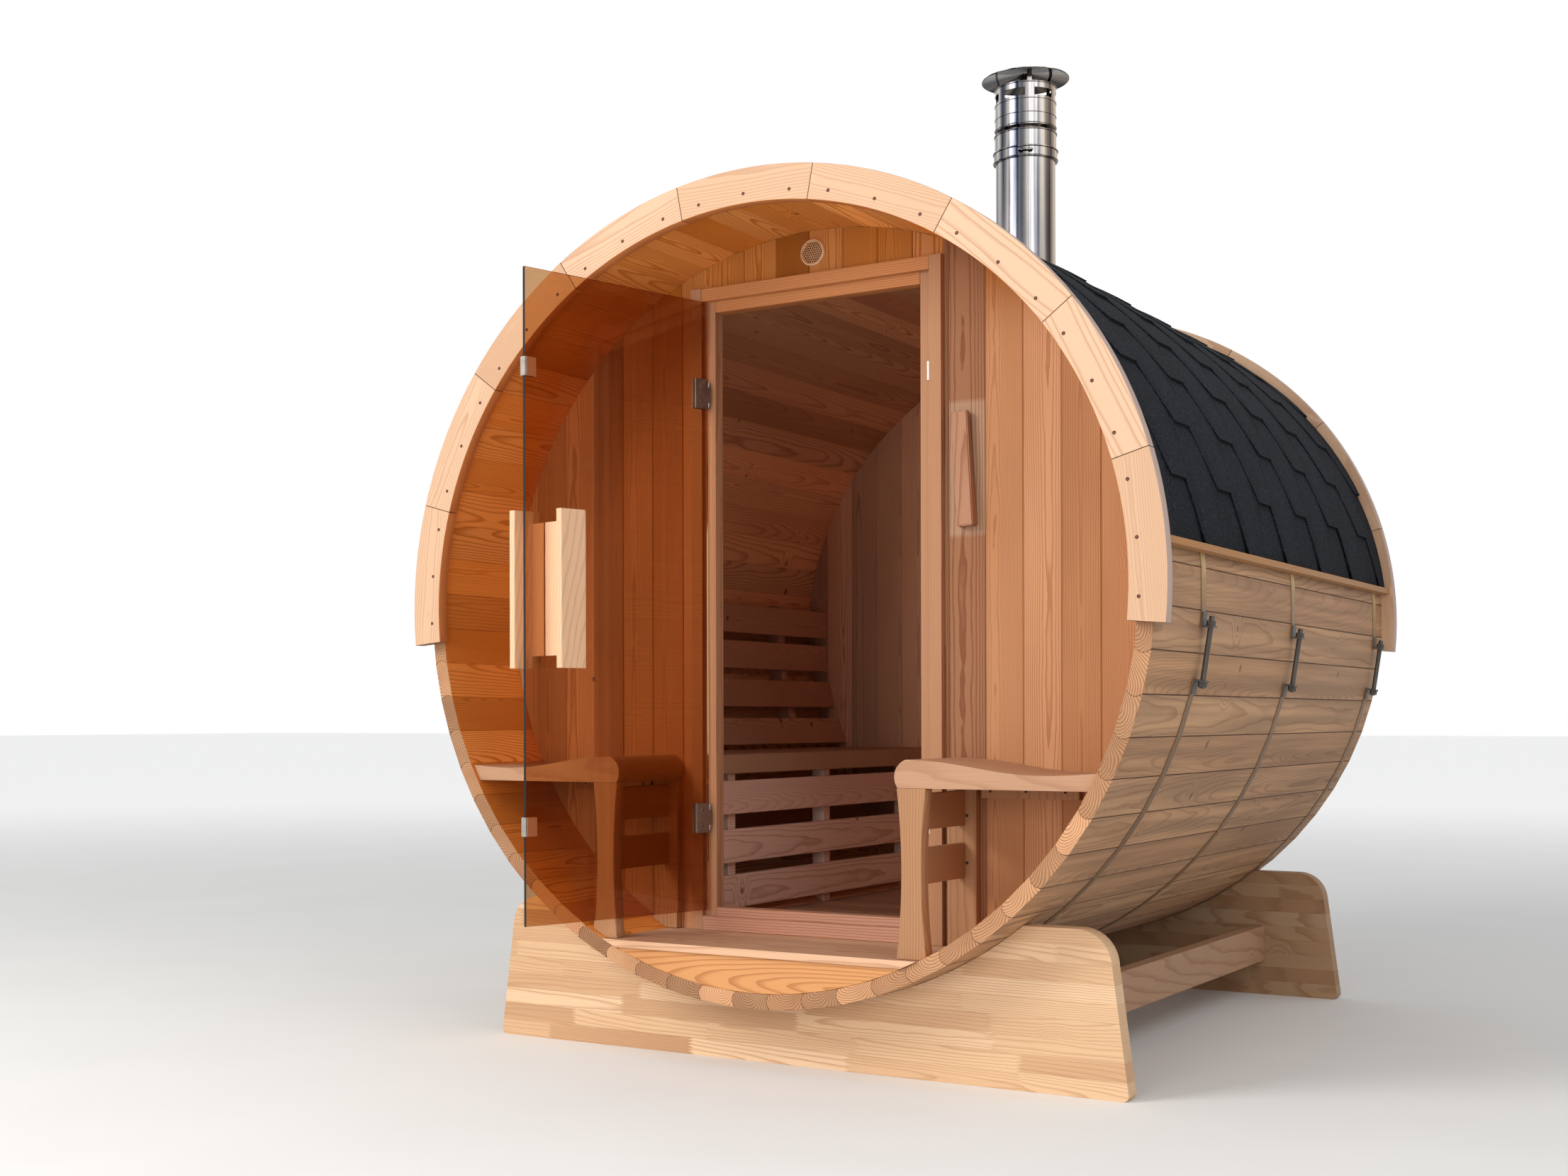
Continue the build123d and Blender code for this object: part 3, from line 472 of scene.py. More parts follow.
def chimney_look():
    """Polished sheet with painted reflections as streaks along the flue, and a painted tan reflection on one
    side. The inside is darker, the faces that look down get painted shade, and the sides are shaded as if
    they were round."""
    look = Look("polished_steel", {"Metallic": 1.0})
    x, y, z = look.place()
    away_y = y - chimney_y
    angle = look.maths("ARCTAN2", x, away_y)
    radius = (x * x + away_y * away_y).do("SQRT")
    smudge = look.noise(x * 14, y * 14, z * 14, 4.0)
    wide = look.noise(angle * 3.4 + 5.2, z * 0.5, 0.0, 2.0)
    fine = look.noise(angle * 15, z * 0.8, 3.0, 2.0)
    # Painted reflections: the streaks of dark and bright tones round the flue
    colour = look.ramp(wide * 1.9 + fine * 0.35 + smudge * 0.1 - 0.75, (0.03, 0.035, 0.055, 1),
                       (0.17, 0.17, 0.19, 1), (0.48, 0.45, 0.42, 1), (0.87, 0.82, 0.77, 1))
    # Painted reflection: a tan tint on one side
    tan_reflection = ((x * 0.83 + away_y * 0.55) / radius).rise(0.25, 0.62)
    colour = look.mix(tan_reflection * 0.75, colour, (0.74, 0.52, 0.33, 1), "MULTIPLY")
    flat = look.node("NewGeometry", {}, "Normal")
    # The inside is made darker, and the faces that look down get painted shade
    inside = 1 - radius.rise(0.0880, 0.0888)
    facing_down = 1 - look.split(flat)[2].rise(-0.5, -0.2)
    dark_inside_and_shaded_under = inside.do("MAXIMUM", facing_down)
    colour = look.mix(dark_inside_and_shaded_under * 0.85, colour, (0.16, 0.115, 0.08, 1), "MULTIPLY")
    away = look.node("VectorMath", {0: look.joined(x, away_y, 0.0)}, operation="NORMALIZE")
    outward = look.node("VectorMath", {0: flat, 1: away}, "Value", operation="DOT_PRODUCT")
    level = look.node("VectorMath", {0: away, "Scale": outward}, operation="SCALE")
    upright = look.node("VectorMath", {0: flat, 1: (0.04, 0.04, 1.0)}, operation="MULTIPLY")
    normal = look.node("VectorMath", {0: level, 1: upright}, operation="ADD")
    normal = look.node("VectorMath", {0: normal}, operation="NORMALIZE")
    return look.finish(colour, 0.08 + smudge * 0.12, smudge, 0.0006, 0.25, normal)


def fitting_look():
    """Brushed metal of the door's fittings. The catch plates' face towards the porch is painted with the
    bronze tint of light through the door's glass.
    """
    look = Look("brushed_steel", {})
    x, y, z = look.place()
    smudge = look.noise(x * 60, y * 60, z * 60, 3.0)
    brushed = look.noise(x * 40, y * 40, z * 900, 2.0)
    colour = look.ramp(smudge * 0.6 + brushed * 0.4, (0.30, 0.26, 0.23, 1), (0.55, 0.51, 0.47, 1))
    open_cosine = math.cos(door_open_angle)
    open_sine = math.sin(door_open_angle)
    from_pivot_x = x - pivot_x
    from_pivot_y = y - pivot_y
    along_door = from_pivot_x * open_cosine - from_pivot_y * open_sine
    off_door = from_pivot_x * open_sine + from_pivot_y * open_cosine
    # Painted glass tint: the catch plates' face towards the porch takes the bronze of light through the
    # glass, and is not metallic
    near_face = off_door.rise(catch_face - 0.0001, catch_face + 0.0001)
    past_start = along_door.rise(catch_start, catch_start + 0.01)
    before_end = 1 - along_door.rise(catch_end - 0.0001, catch_end + 0.0001)
    painted_glass_tint = near_face * past_start * before_end
    colour = look.mix(painted_glass_tint, colour, tone(150, 84, 46))
    look.put(look.shader.inputs["Metallic"], 1 - painted_glass_tint)
    return look.finish(colour, 0.36 + smudge * 0.15, brushed, 0.0002, 0.3)


def band_look():
    """Khaki straps, olive and then brown further down, with dark brackets and rods."""
    look = Look("dark_oiled_steel", {"Metallic": 0.25})
    x, y, z = look.place()
    patch = look.noise(x * 9, y * 9, z * 9, 4.0)
    fine = look.noise(x * 120, y * 120, z * 120, 2.0)
    down = 1 - (z - axis_z).rise(-0.10, 0.09)
    strap = look.ramp(down * 0.55 + patch * 0.45, tone(204, 168, 114), tone(156, 126, 72),
                      tone(132, 98, 60), tone(108, 80, 56))
    dark = look.ramp(patch, tone(58, 54, 50), tone(92, 86, 80))
    outside_strap = look.round_place()[0].rise(strap_radius, strap_radius + 0.0008)
    colour = look.mix(outside_strap, strap, dark)
    return look.finish(colour, 0.34 + fine * 0.25, fine, 0.0004, 0.4)


def recess_look():
    """Painted shade for the inside of a screw's socket or hole, mottled between two dark tones."""
    look = Look("screw_recess", {"Metallic": 0.3})
    x, y, z = look.place()
    # Painted shade: two dark tones stand in for the shade inside a socket
    shade_mottle = look.noise(x * 700, y * 700, z * 700, 2.0)
    return look.finish(look.ramp(shade_mottle, tone(34, 24, 20), tone(62, 44, 36)), 0.6, shade_mottle, 0.0002)


def vent_look(name, dark, pale):
    """Smooth sheet of the vent, mottled between two tones."""
    look = Look(name, {"Specular IOR Level": 0.5})
    x, y, z = look.place()
    patch = look.noise(x * 60, y * 60, z * 60, 3.0)
    return look.finish(look.ramp(patch, dark, pale), 0.4 + patch * 0.2, patch, 0.0003)


def glass_look():
    """Bronze-tinted glass that lets lamps through."""
    tint = (0.58, 0.33, 0.16, 1)
    look = Look("bronze_glass", {"Base Color": tint, "Transmission Weight": 1.0, "IOR": 1.45})
    x, y, z = look.place()
    smear = look.noise(x * 22, y * 22, z * 9, 4.0)
    look.put(look.shader.inputs["Roughness"], smear.rise(0.55, 0.9) * 0.05)
    clear = look.make("BsdfTransparent", {"Color": (0.56, 0.34, 0.18, 1)})
    path = look.make("LightPath", {})
    both = look.make("MixShader", {0: Value(look, path.outputs["Is Shadow Ray"])})
    output = look.tree.nodes["Material Output"]
    look.tree.links.new(look.shader.outputs[0], both.inputs[1])
    look.tree.links.new(clear.outputs[0], both.inputs[2])
    look.tree.links.new(both.outputs[0], output.inputs[0])
    return look.material


def middle_x(name):
    """The middle of a node's box from left to right."""
    low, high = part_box(name)
    return (low[0] + high[0]) / 2


slat_x = middle_x("cabin_bench_front")
backrest_x = middle_x("cabin_backrest")
staves_wood = wood("stave_wood", stave_grain, [tone(178, 108, 58), tone(208, 140, 84), tone(224, 162, 106)],
                   ring=0.006, dark=0.6, sway=0.04, knots=0.42, finish=stave_finish)
ring_wood = wood("ring_wood", ring_grain, [tone(196, 156, 124), tone(206, 168, 136), tone(216, 180, 150)],
                 ring=0.006, dark=0.34, sway=0.02, knots=0.05, streak=0.05, lean=0.02, finish=ring_finish)
wall_wood = wood("wall_wood", wall_grain,
                 [tone(134, 84, 48), tone(172, 118, 76), tone(190, 138, 98), tone(206, 156, 118)],
                 ring=0.0038, dark=0.6, sway=0.014, knots=0.10, lean=0.015, finish=wall_finish)
frame_wood = wood("frame_wood", board_grain("Z", "X", 0.636, -0.318, 0.14),
                  [tone(166, 118, 84), tone(182, 136, 102)],
                  ring=0.004, dark=0.5, sway=0.01, knots=0.0, lean=0.01)
beam_wood = wood("beam_wood", board_grain("X", "Z", 0.9, 0.0, 0.14, 3.0),
                 [tone(178, 114, 66), tone(196, 134, 84)], ring=0.005, dark=0.5, sway=0.015, knots=0.0)
sill_wood = wood("sill_wood", board_grain("X", "Z", 0.9, 0.0, 0.14, 3.0),
                 [tone(170, 122, 98), tone(188, 140, 116)], ring=0.005, dark=0.5, sway=0.015, knots=0.0)
floor_wood = wood("floor_wood", board_grain("X", "Y", floor_pitch, floor_start, 0.29),
                  [tone(168, 126, 100), tone(188, 146, 116), tone(204, 164, 132)],
                  ring=0.006, dark=0.5, sway=0.03, knots=0.1, finish=floor_finish)
apron_wood = wood("apron_wood", board_grain("X", "Z", 0.4, 0.0, -0.16, 5.0),
                  [tone(200, 138, 84), tone(212, 154, 100)],
                  ring=0.008, dark=0.6, sway=0.02, knots=0.0, lean=0.30)
bench_wood = wood("bench_wood", board_grain("X", "Z", 0.5, 0.5, 0.0, 9.0),
                  [tone(176, 134, 104), tone(194, 154, 124)],
                  ring=0.008, dark=0.6, sway=0.02, knots=0.12, lean=0.05)
leg_wood = wood("leg_wood", board_grain("Z", "X", 0.5, -0.75, -0.147, 4.0),
                [tone(164, 118, 82), tone(182, 138, 100)],
                ring=0.005, dark=0.55, sway=0.01, knots=0.0, lean=0.02)
slat_wood = wood("slat_wood", board_grain("Y", "Z", 0.128, 0.298, slat_x, 2.0),
                 [tone(222, 178, 158), tone(236, 196, 176), tone(246, 210, 190)],
                 ring=0.0035, dark=0.42, sway=0.012, knots=0.4, lean=0.05)
back_wood = wood("back_wood", board_grain("Y", "Z", 0.122, 0.2425, backrest_x, 6.0),
                 [tone(190, 140, 110), tone(206, 158, 128), tone(220, 174, 142)],
                 ring=0.0035, dark=0.42, sway=0.012, knots=0.3, lean=0.05)
cradle_wood = wood("cradle_wood", strip_grain,
                   [tone(188, 146, 110), tone(206, 166, 128), tone(220, 184, 146), tone(230, 198, 164)],
                   ring=0.006, dark=0.42, sway=0.03, knots=0.16, finish=strip_finish)
rail_wood = wood("rail_wood", board_grain("Y", "Z", 0.5, 0.0, 0.0, 8.0),
                 [tone(152, 114, 86), tone(176, 138, 108)],
                 ring=0.006, dark=0.35, sway=0.02, knots=0.3, lean=0.05)
batten_wood = wood("batten_wood", board_grain("Y", "X", 3.0, -1.5, 0.0, 1.0),
                   [tone(164, 114, 70), tone(186, 138, 90)], ring=0.005, dark=0.4, sway=0.02, knots=0.0)
handle_wood = wood("handle_wood", board_grain("Z", "Y", 0.5, -0.6, 0.0, 12.0),
                   [tone(222, 182, 146), tone(234, 200, 166)],
                   ring=0.010, dark=0.5, sway=0.03, knots=0.05, lean=0.12)
block_wood = wood("block_wood", board_grain("Z", "X", 0.5, 0.2, 0.12, 15.0),
                  [tone(150, 106, 78), tone(168, 122, 94)],
                  ring=0.0045, dark=0.5, sway=0.010, knots=0.0, lean=0.01)
shingle = shingle_look()
polished = chimney_look()
brushed = fitting_look()
band_steel = band_look()
vent_plate = vent_look("vent_plate", tone(162, 118, 80), tone(190, 146, 104))
vent_rim = vent_look("vent_rim", tone(196, 152, 112), tone(220, 178, 138))
recess = recess_look()
glass = glass_look()

# Every piece of the model under its material, with the width of its broken edges
dressed = {
    staves_wood: (0.0012, ["staves_top", "staves_upper_right", "staves_right", "staves_lower_right",
                           "staves_bottom", "staves_lower_left", "staves_left", "staves_upper_left"]),
    ring_wood: (0.0015, ["front_ring", "rear_ring"]),
    frame_wood: (0.0015, ["door_jambs"]),
    beam_wood: (0.0015, ["door_header"]),
    sill_wood: (0.0015, ["door_sill"]),
    floor_wood: (0.002, ["porch_floor", "cabin_floor"]),
    apron_wood: (0.001, ["porch_apron"]),
    bench_wood: (0.004, ["porch_bench_seat_left", "porch_bench_seat_right", "cabin_bench_seat"]),
    leg_wood: (0.003, ["porch_bench_frame_left", "porch_bench_frame_right"]),
    slat_wood: (0.003, ["cabin_bench_front"]),
    back_wood: (0.003, ["cabin_backrest"]),
    cradle_wood: (0.006, ["front_cradle", "rear_cradle"]),
    rail_wood: (0.003, ["cradle_stretchers"]),
    batten_wood: (0.001, ["eave_battens"]),
    handle_wood: (0.0, ["door_handle"]),
    block_wood: (0.002, ["wall_block"]),
    wall_wood: (0.0, ["front_wall_left", "front_wall_right", "front_wall_over_door", "rear_wall"]),
    shingle: (0.0, ["roof_covering"]),
    polished: (0.0, ["chimney_pipe", "chimney_cap", "chimney_flashing"]),
    brushed: (0.0006, ["door_fittings", "jamb_fittings"]),
    band_steel: (0.0004, ["steel_bands"]),
    vent_plate: (0.001, ["vent_grille"]),
    glass: (0.0, ["door_glass"]),
}


def dress():
    """Give every piece of the model its material, and break its sharp edges."""
    for material, (width, names) in dressed.items():
        for name in names:
            mesh = nodes[name].data
            mesh.materials.clear()
            mesh.materials.append(material)
            if width:
                weld = nodes[name].modifiers.new("weld", "WELD")
                weld.merge_threshold = 0.00005
                bevel = nodes[name].modifiers.new("edges", "BEVEL")
                bevel.width = width
                bevel.segments = 2
                bevel.limit_method = "ANGLE"
                bevel.angle_limit = math.radians(38)
                bevel.harden_normals = True


# Shapes that the pieces below are made from

def add_piece(name, mesh, material, body="barrel", stands_for=(), smooth=35):
    """Turn a bmesh into an object that rides on a body and may stand for pieces of the model."""
    data = bpy.data.meshes.new(name)
    bmesh.ops.recalc_face_normals(mesh, faces=mesh.faces)
    mesh.to_mesh(data)
    mesh.free()
    data.materials.append(material)
    data.polygons.foreach_set("use_smooth", [True] * len(data.polygons))
    data.set_sharp_from_angle(angle=math.radians(smooth))
    piece = bpy.data.objects.new(name, data)
    bpy.context.scene.collection.objects.link(piece)
    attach(piece, body)
    if stands_for:
        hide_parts(*stands_for)
    return piece


def cut(piece, tool):
    """Cut a shape out of a piece for good."""
    data = bpy.data.meshes.new("tool")
    tool.to_mesh(data)
    tool.free()
    cutter = bpy.data.objects.new("tool", data)
    bpy.context.scene.collection.objects.link(cutter)
    modifier = piece.modifiers.new("cut", "BOOLEAN")
    modifier.object = cutter
    modifier.operation = "DIFFERENCE"
    modifier.solver = "EXACT"
    result = bpy.data.meshes.new_from_object(piece.evaluated_get(bpy.context.evaluated_depsgraph_get()))
    piece.modifiers.clear()
    piece.data = result
    bpy.data.objects.remove(cutter)


def bar(mesh, loops):
    """A closed bar through loops of corners, with a face at each end."""
    rows = [[mesh.verts.new(corner) for corner in loop] for loop in loops]
    mesh.faces.new(rows[0])
    mesh.faces.new(rows[-1][::-1])
    for left, right in zip(rows, rows[1:]):
        for index in range(len(left)):
            after = (index + 1) % len(left)
            mesh.faces.new((left[index], right[index], right[after], left[after]))


def sheet(mesh, columns):
    """A closed sheet through columns of corners in pairs, one on its under side and one on its top."""
    grid = [[[mesh.verts.new(corner) for corner in pair] for pair in column] for column in columns]
    rows = len(grid[0]) - 1
    for left, right in zip(grid, grid[1:]):
        for row in range(rows):
            for side in (0, 1):
                mesh.faces.new((left[row][side], right[row][side],
                                right[row + 1][side], left[row + 1][side]))
        for row in (0, rows):
            mesh.faces.new((left[row][0], left[row][1], right[row][1], right[row][0]))
    for column in (grid[0], grid[-1]):
        for row in range(rows):
            mesh.faces.new((column[row][0], column[row][1], column[row + 1][1], column[row + 1][0]))


def peg(mesh, place, direction, radius, length, sides=16):
    """A short solid bar whose middle is at a place."""
    turn = Vector(direction).to_track_quat("Z", "Y").to_matrix().to_4x4()
    bmesh.ops.create_cone(mesh, cap_ends=True, segments=sides, radius1=radius, radius2=radius, depth=length,
                          matrix=Matrix.Translation(place) @ turn)


def lathe(mesh, profile, centre, axis, steps):
    """Turn a closed profile of (radius, height) about an upright axis Z or a level axis Y."""
    loops = []
    for step in range(steps):
        angle = 2 * math.pi * step / steps
        loop = []
        for radius, height in profile:
            first = radius * math.cos(angle)
            second = radius * math.sin(angle)
            corner = (first, second, height) if axis == "Z" else (first, height, second)
            loop.append(mesh.verts.new(Vector(centre) + Vector(corner)))
        loops.append(loop)
    for index, loop in enumerate(loops):
        after = loops[(index + 1) % steps]
        for corner in range(len(profile)):
            other = (corner + 1) % len(profile)
            mesh.faces.new((loop[corner], after[corner], after[other], loop[other]))


def bead(radius, height, size):
    """The closed profile of a rolled bead."""
    angles = [2 * math.pi * step / 8 for step in range(8)]
    return [(radius + size * math.cos(angle), height + size * math.sin(angle)) for angle in angles]


# Pieces made here

def board_loops(x0, x1, front, back, low, high):
    """Loops of one board with chamfered edges, its ends cut to the barrel's round."""
    gap = 0.0002
    chamfer = 0.0022
    spans = 4
    inner0 = x0 + gap + chamfer
    inner1 = x1 - gap - chamfer
    xs = [x0 + gap] + [inner0 + (inner1 - inner0) * step / spans for step in range(spans + 1)] + [x1 - gap]
    loops = []
    for index, x in enumerate(xs):
        inset = chamfer if index in (0, len(xs) - 1) else 0
        round_height = math.sqrt(max(room_radius ** 2 - x * x, 0))
        y0, y1 = front + inset, back - inset
        z0, z1 = max(low, axis_z - round_height), min(high, axis_z + round_height)
        loops.append([(x, y0, z0), (x, y0, z1), (x, y1, z1), (x, y1, z0)])
    return loops


def wall_boards(x0, x1, front, back, low=0, high=3):
    """Boards side by side from x0 to x1, as high as the barrel unless low or high stops them."""
    narrowest = 0.006
    joints = [wall_start + wall_pitch * step for step in range(-12, 12)]
    cuts = [x0] + [joint for joint in joints if x0 + narrowest < joint < x1 - narrowest] + [x1]
    mesh = bmesh.new()
    for left, right in zip(cuts, cuts[1:]):
        bar(mesh, board_loops(left, right, front, back, low, high))
    return mesh


def add_walls():
    """The front and rear walls, board by board, and the vent's hole over the door."""
    frame_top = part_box("front_wall_over_door")[0][2]
    front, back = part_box("front_wall_left")[0][1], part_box("front_wall_left")[1][1]
    span = room_radius - 0.0005
    add_piece("wall_boards_left", wall_boards(-span, -panel_edge, front, back), wall_wood,
              stands_for=["front_wall_left"])
    add_piece("wall_boards_right", wall_boards(panel_edge, span, front, back), wall_wood,
              stands_for=["front_wall_right"])
    over = add_piece("wall_boards_over_door", wall_boards(-panel_edge, panel_edge, front, back, frame_top),
                     wall_wood, stands_for=["front_wall_over_door"])
    vent_low, vent_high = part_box("vent_grille")
    bore = bmesh.new()
    peg(bore, (0, front, (vent_low[2] + vent_high[2]) / 2), (0, 1, 0), vent_bore_radius, 0.2, 48)
    cut(over, bore)
    low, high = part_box("rear_wall")
    add_piece("wall_boards_rear", wall_boards(-span, span, low[1], high[1]), wall_wood,
              stands_for=["rear_wall"])


def roof_point(side, reach, radius, y):
    """A point on one side of the roof, reach being its way along the curve from the eave."""
    angle = eave_angle - reach / arc_radius
    return (side * radius * math.sin(angle), y, axis_z + radius * math.cos(angle))


def course_places(offset, start, end):
    """Where a course's outline bends along y, and closer places round the chimney."""
    places = {start, end}
    count = round((rear_y - front_y) / tab_pitch) + 2
    for index in range(-1, count):
        centre = offset + index * tab_pitch
        for step in (-tab_flat / 2 - tab_slope, -tab_flat / 2, tab_flat / 2, tab_flat / 2 + tab_slope):
            places.add(centre + step)
    for step in range(-4, 5):
        places.add(chimney_y + step * 0.04)
    return sorted(place for place in places if start <= place <= end)


def add_course(mesh, side, foot, offset, straight=False):
    """One course of shingles, foot being how far its lowest edge is from the eave."""
    start = front_y + 0.0008
    end = rear_y - 0.0008 - chance.uniform(0.0, 0.010)
    rows = 8
    reach_top = min(shingle_length, ridge_reach - foot)
    slope = shingle_thickness / tab_depth
    lift = {}
    columns = []
    for y in course_places(offset, start, end):
        tab = round((y - offset) / tab_pitch)
        away = abs(y - offset - tab * tab_pitch)
        share = min(max((away - tab_flat / 2) / tab_slope, 0), 1)
        low = 0 if straight else tab_depth * share
        lift.setdefault(tab, chance.uniform(0, 0.0007))
        column = []
        for row in range(rows + 1):
            reach = low + (reach_top - low) * row / rows
            under = roof_radius
            if not straight:
                under = roof_radius + slope * (shingle_length - reach) + lift[tab] * (1 - row / rows)
            column.append([roof_point(side, foot + reach, under + thick, y)
                           for thick in (0, shingle_thickness)])
        columns.append(column)
    sheet(mesh, columns)


def add_ridge_cap(mesh, y, length):
    """One folded cap over the ridge, its rear end under the next one."""
    steps = 6
    half_width = 0.125
    thickness = 0.003
    columns = []
    for share in (0, 0.5, 1):
        radius = roof_radius + 0.0108 + 0.0034 * (1 - share)
        column = []
        for step in range(steps + 1):
            angle = (step / steps * 2 - 1) * half_width / arc_radius
            column.append([((radius + thick) * math.sin(angle), y + length * share,
                            axis_z + (radius + thick) * math.cos(angle)) for thick in (0, thickness)])
        columns.append(column)
    sheet(mesh, columns)


def add_roof():
    """Hexagonal shingles from both eaves to the ridge, with caps along the ridge."""
    mesh = bmesh.new()
    courses = math.ceil((ridge_reach - 0.05) / tab_depth)
    for side in (-1, 1):
        add_course(mesh, side, 0.0, first_tab_y, straight=True)
        for course in range(courses):
            add_course(mesh, side, course * tab_depth, first_tab_y + (course % 2) * tab_pitch / 2)
    caps = round((rear_y - front_y) / tab_depth)
    step = (rear_y - front_y - 0.02) / caps
    for index in range(caps):
        length = min(step * 1.45, rear_y - 0.001 - front_y - step * index)
        add_ridge_cap(mesh, front_y + 0.001 + step * index, length)
    near = [vert for vert in mesh.verts
            if math.hypot(vert.co.x, vert.co.y - chimney_y) < flashing_hole and vert.co.z > axis_z]
    bmesh.ops.delete(mesh, geom=near, context="VERTS")
    add_piece("shingle_courses", mesh, shingle, stands_for=["roof_covering"], smooth=25)


def add_chimney_trim():
    """Rolled beads, the cap's rolled rim and the clamp's bolt."""
    pipe_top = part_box("chimney_pipe")[1][2]
    cap_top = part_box("chimney_cap")[1][2]
    clamp_top = pipe_top - 0.052
    crown_low = pipe_top + 0.013
    centre = (0, chimney_y, 0)
    mesh = bmesh.new()
    pipe_beads = [(0.0935, pipe_top - 0.002, 0.0022)]
    clamp_beads = [(0.0962, clamp_top - 0.003, 0.0030), (0.0962, clamp_top - 0.031, 0.0024)]
    crown_beads = [(0.0925, crown_low + 0.004, 0.0016), (0.0922, crown_low + 0.036, 0.0014),
                   (0.0922, crown_low + 0.078, 0.0014), (0.0925, crown_low + 0.127, 0.0016)]
    cap_rim = [(0.1305, cap_top - 0.0275, 0.0020)]
    for radius, height, size in pipe_beads + clamp_beads + crown_beads + cap_rim:
        lathe(mesh, bead(radius, height, size), centre, "Z", 72)
    facing = Vector((0.375, -0.927, 0))
    across = Vector((-facing.y, facing.x, 0))
    clamp = Vector((0, chimney_y, clamp_top - 0.017)) + facing * 0.0985
    peg(mesh, clamp + facing * 0.003, across, 0.0028, 0.046, 12)
    for side in (-1, 1):
        peg(mesh, clamp + across * side * 0.012, across, 0.0075, 0.004, 12)
        peg(mesh, clamp + across * side * 0.019 + facing * 0.003, across, 0.0052, 0.004, 6)
    add_piece("chimney_beads", mesh, polished, smooth=60)


def add_vent():
    """The vent's rim and its plate, pierced in a honeycomb pattern."""
    low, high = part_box("vent_grille")
    middle = (low[2] + high[2]) / 2
    front, back = low[1], high[1]
    plate = bmesh.new()
    peg(plate, (0, back - 0.002, middle), (0, 1, 0), 0.029, 0.003, 48)
    pierced = add_piece("vent_plate", plate, vent_plate)
    holes = bmesh.new()
    hole_pitch = 0.0064
    hole_radius = 0.0024
    pierced_radius = 0.0265
    for row in range(-4, 5):
        for column in range(-5, 6):
            x = (column + (row % 2) * 0.5) * hole_pitch
            z = row * hole_pitch * math.sqrt(0.75)
            if math.hypot(x, z) < pierced_radius:
                peg(holes, (x, back, middle + z), (0, 1, 0), hole_radius, 0.02, 10)
    cut(pierced, holes)
    rim = bmesh.new()
    lathe(rim, [(0.0282, back), (0.0282, front + 0.002), (0.0292, front), (0.0318, front + 0.0006),
                (0.0333, front + 0.0030), (0.0335, back)], (0, 0, middle), "Y", 64)
    add_piece("vent_rim", rim, vent_rim, stands_for=["vent_grille"], smooth=50)


def add_wall_block():
    """The small block on the front wall: it leans to the left, and stands off the wall above its foot."""
    low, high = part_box("wall_block")
    wall = high[1]
    half_width = 0.021
    half_height = 0.136
    foot_top = 0.092 - half_height
    foot_front = wall - 0.030
    back = wall - 0.008
    front = back - 0.018
    lean = math.radians(-3.5)
    outline = [(foot_front, -half_height), (wall, -half_height), (wall, foot_top),
               (back, foot_top), (back, half_height), (front, half_height)]
    mesh = bmesh.new()
    bar(mesh, [[(x, y, z) for y, z in outline] for x in (-half_width, half_width)])
    bmesh.ops.bevel(mesh, geom=mesh.edges[:], offset=0.0025, segments=2, affect="EDGES")
    place = Matrix.Translation((middle_x("wall_block") + 0.006, 0, (low[2] + high[2]) / 2))
    bmesh.ops.transform(mesh, verts=mesh.verts, matrix=place @ Matrix.Rotation(lean, 4, "Y"))
    add_piece("leaning_block", mesh, block_wood, stands_for=["wall_block"])


def add_hinge_screws():
    """Screws in both faces of the hinge plates, with sockets of painted shade. They turn with the door."""
    swing = Matrix.Translation((pivot_x, pivot_y, 0)) @ Matrix.Rotation(-door_open_angle, 4, "Z")
    glass_low, glass_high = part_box("door_glass")
    heads, sockets = bmesh.new(), bmesh.new()
    for middle in (glass_low[2] + hinge_inset, glass_high[2] - hinge_inset):
        for drop in (-0.020, 0.020):
            for side in (-1, 1):
                place = swing @ Vector((0.0315, side * 0.0094, 0))
                facing = swing.to_3x3() @ Vector((0, side, 0))
                place.z = middle + drop
                peg(heads, place, facing, 0.0046, 0.0008)
                # Each socket is a thin disc of painted shade on the head
                peg(sockets, place + facing * 0.0004, facing, 0.0023, 0.0002, 6)
    add_piece("hinge_screws", heads, brushed, "door")
    add_piece("hinge_screw_sockets", sockets, recess, "door")


def add_bench_screws():
    """Screws sunk in the porch benches' wall posts and wall cleats, shown as thin discs of painted shade."""
    post_y = 0.1087
    cleat_y = 0.1117
    screws = bmesh.new()
    for side, name in ((1, "right"), (-1, "left")):
        seat_low, seat_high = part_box("porch_bench_seat_" + name)
        nose = seat_low[0] if side > 0 else -seat_high[0]
        under = seat_low[2]
        for drop in (0.072, 0.183):
            peg(screws, (side * (nose + 0.055), post_y, under - drop), (0, 1, 0), 0.0038, 0.0006)
        for away in (0.112, 0.200, 0.295):
            peg(screws, (side * (nose + away), cleat_y, under - 0.013), (0, 1, 0), 0.0038, 0.0006)
    # The screws are dark discs of painted shade
    add_piece("bench_screws", screws, recess)


def add_tensioners():
    """A nut and a washer at each end of the bands' rods, outside their brackets."""
    mesh = bmesh.new()
    high, low = [Vector((rod_radius * math.sin(angle), 0, axis_z + rod_radius * math.cos(angle)))
                 for angle in rod_angles]
    up = (high - low).normalized()
    for y in band_places:
        for end, direction in ((high, up), (low, -up)):
            place = end + Vector((0, y, 0))
            peg(mesh, place + direction * 0.0049, direction, 0.0112, 0.0016, 24)
            peg(mesh, place + direction * 0.0106, direction, 0.0102, 0.0098, 6)
    add_piece("tensioner_nuts", mesh, band_steel)


# Studio

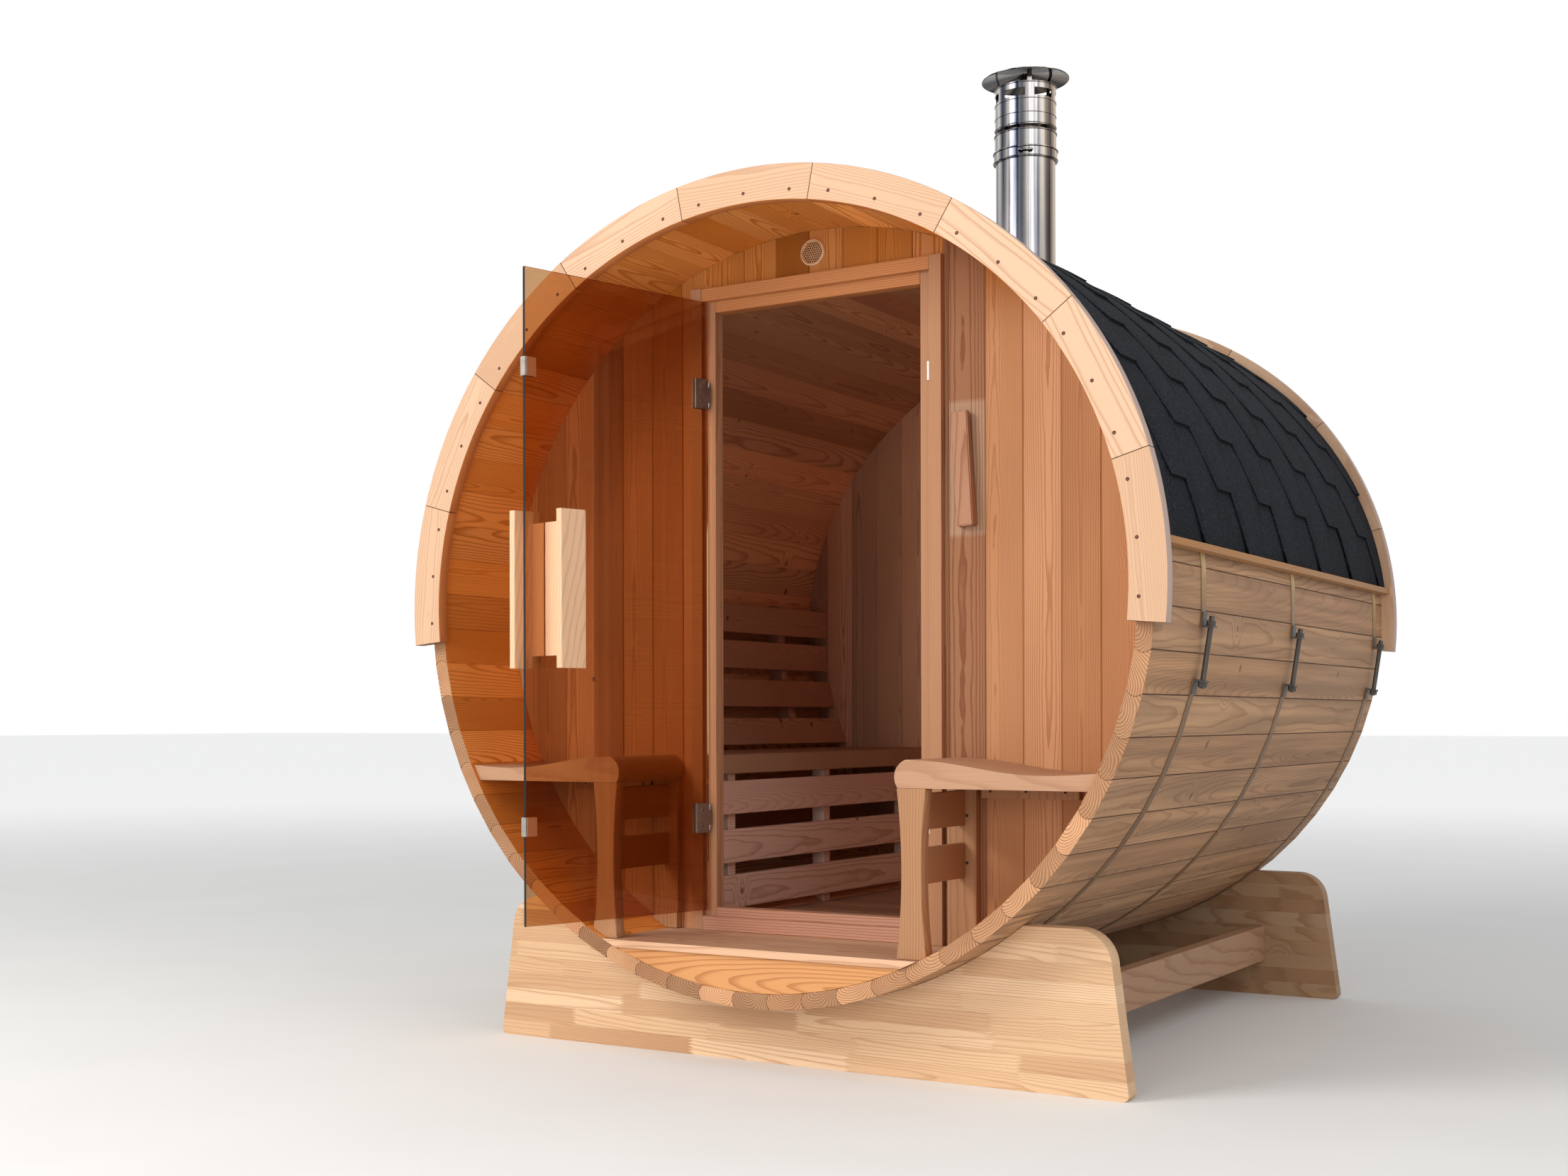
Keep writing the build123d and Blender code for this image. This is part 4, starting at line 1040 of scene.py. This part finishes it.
def add_light(name, place, target, size, watts, colour):
    """A square lamp that faces a target."""
    lamp = bpy.data.lights.new(name, "AREA")
    lamp.energy = watts
    lamp.size = size
    lamp.color = colour
    holder = bpy.data.objects.new(name, lamp)
    holder.location = place
    holder.rotation_euler = (Vector(target) - Vector(place)).to_track_quat("-Z", "Y").to_euler()
    bpy.context.scene.collection.objects.link(holder)


def seen_rays(tree):
    """1 for rays that show the studio in the picture, straight, in a reflection or through glass."""
    path = tree.nodes.new("ShaderNodeLightPath")
    seen = path.outputs["Is Camera Ray"]
    for kind in ("Is Glossy Ray", "Is Transmission Ray"):
        larger = tree.nodes.new("ShaderNodeMath")
        larger.operation = "MAXIMUM"
        tree.links.new(seen, larger.inputs[0])
        tree.links.new(path.outputs[kind], larger.inputs[1])
        seen = larger.outputs[0]
    return seen


def add_floor():
    """A pale floor that grows brighter away from the object, for the picture only."""
    mesh = bmesh.new()
    bmesh.ops.create_grid(mesh, x_segments=8, y_segments=8, size=90)
    data = bpy.data.meshes.new("studio_floor")
    mesh.to_mesh(data)
    mesh.free()
    look = Look("studio_floor", {"Roughness": 0.9, "Specular IOR Level": 0.1})
    x, y, z = look.place()
    patch = look.noise(x * 2, y * 2, z, 4.0)
    colour = look.ramp(patch, tone(232, 231, 229), tone(238, 237, 235))
    near = 2.5
    far = 16
    glow = (x * x + y * y).do("SQRT").rise(near, far) * 0.36
    look.put(look.shader.inputs["Emission Strength"], glow * Value(look, seen_rays(look.tree)))
    data.materials.append(look.finish(colour, 0.9, patch))
    floor = bpy.data.objects.new("studio_floor", data)
    bpy.context.scene.collection.objects.link(floor)


def set_world():
    """A white background with softer light for the object."""
    world = bpy.data.worlds.new("studio")
    bpy.context.scene.world = world
    world.use_nodes = True
    tree = world.node_tree
    tree.nodes.clear()
    both = tree.nodes.new("ShaderNodeMixShader")
    tree.links.new(seen_rays(tree), both.inputs[0])
    for index, colour, strength in ((1, (0.96, 0.98, 1.0, 1), 0.60), (2, (1, 1, 1, 1), 1.0)):
        background = tree.nodes.new("ShaderNodeBackground")
        background.inputs["Color"].default_value = colour
        background.inputs["Strength"].default_value = strength
        tree.links.new(background.outputs[0], both.inputs[index])
    output = tree.nodes.new("ShaderNodeOutputWorld")
    tree.links.new(both.outputs[0], output.inputs[0])


def set_camera():
    """The photograph's camera."""
    data = bpy.data.cameras.new("photo_camera")
    data.sensor_width = 36
    data.lens = 43.83
    data.shift_x = 0.0949
    data.shift_y = 0.0841
    data.clip_end = 200
    camera = bpy.data.objects.new("photo_camera", data)
    right = Vector((0.832545, 0.553952, -0.002356))
    up = Vector((0.001960, 0.001308, 0.999997))
    back = right.cross(up)
    camera.matrix_world = (Matrix.Translation((2.2522, -4.0530, 0.8315))
                           @ Matrix((right, up, back)).transposed().to_4x4())
    bpy.context.scene.collection.objects.link(camera)
    bpy.context.scene.camera = camera


dress()
add_walls()
add_roof()
add_chimney_trim()
add_vent()
add_wall_block()
add_hinge_screws()
add_bench_screws()
add_tensioners()
add_floor()
set_world()
add_light("key", (-3.6, -5.6, 4.6), (0, 0.3, 1.0), 3.2, 325, (1.0, 0.97, 0.92))
add_light("front", (0.8, -6.5, 1.5), (0, 0.8, 1.1), 2.4, 130, (1.0, 0.97, 0.94))
add_light("side", (5.5, -3.0, 3.6), (0.3, 0.8, 1.0), 4.0, 90, (0.97, 0.98, 1.0))
set_camera()
bpy.context.scene.view_settings.view_transform = "Standard"
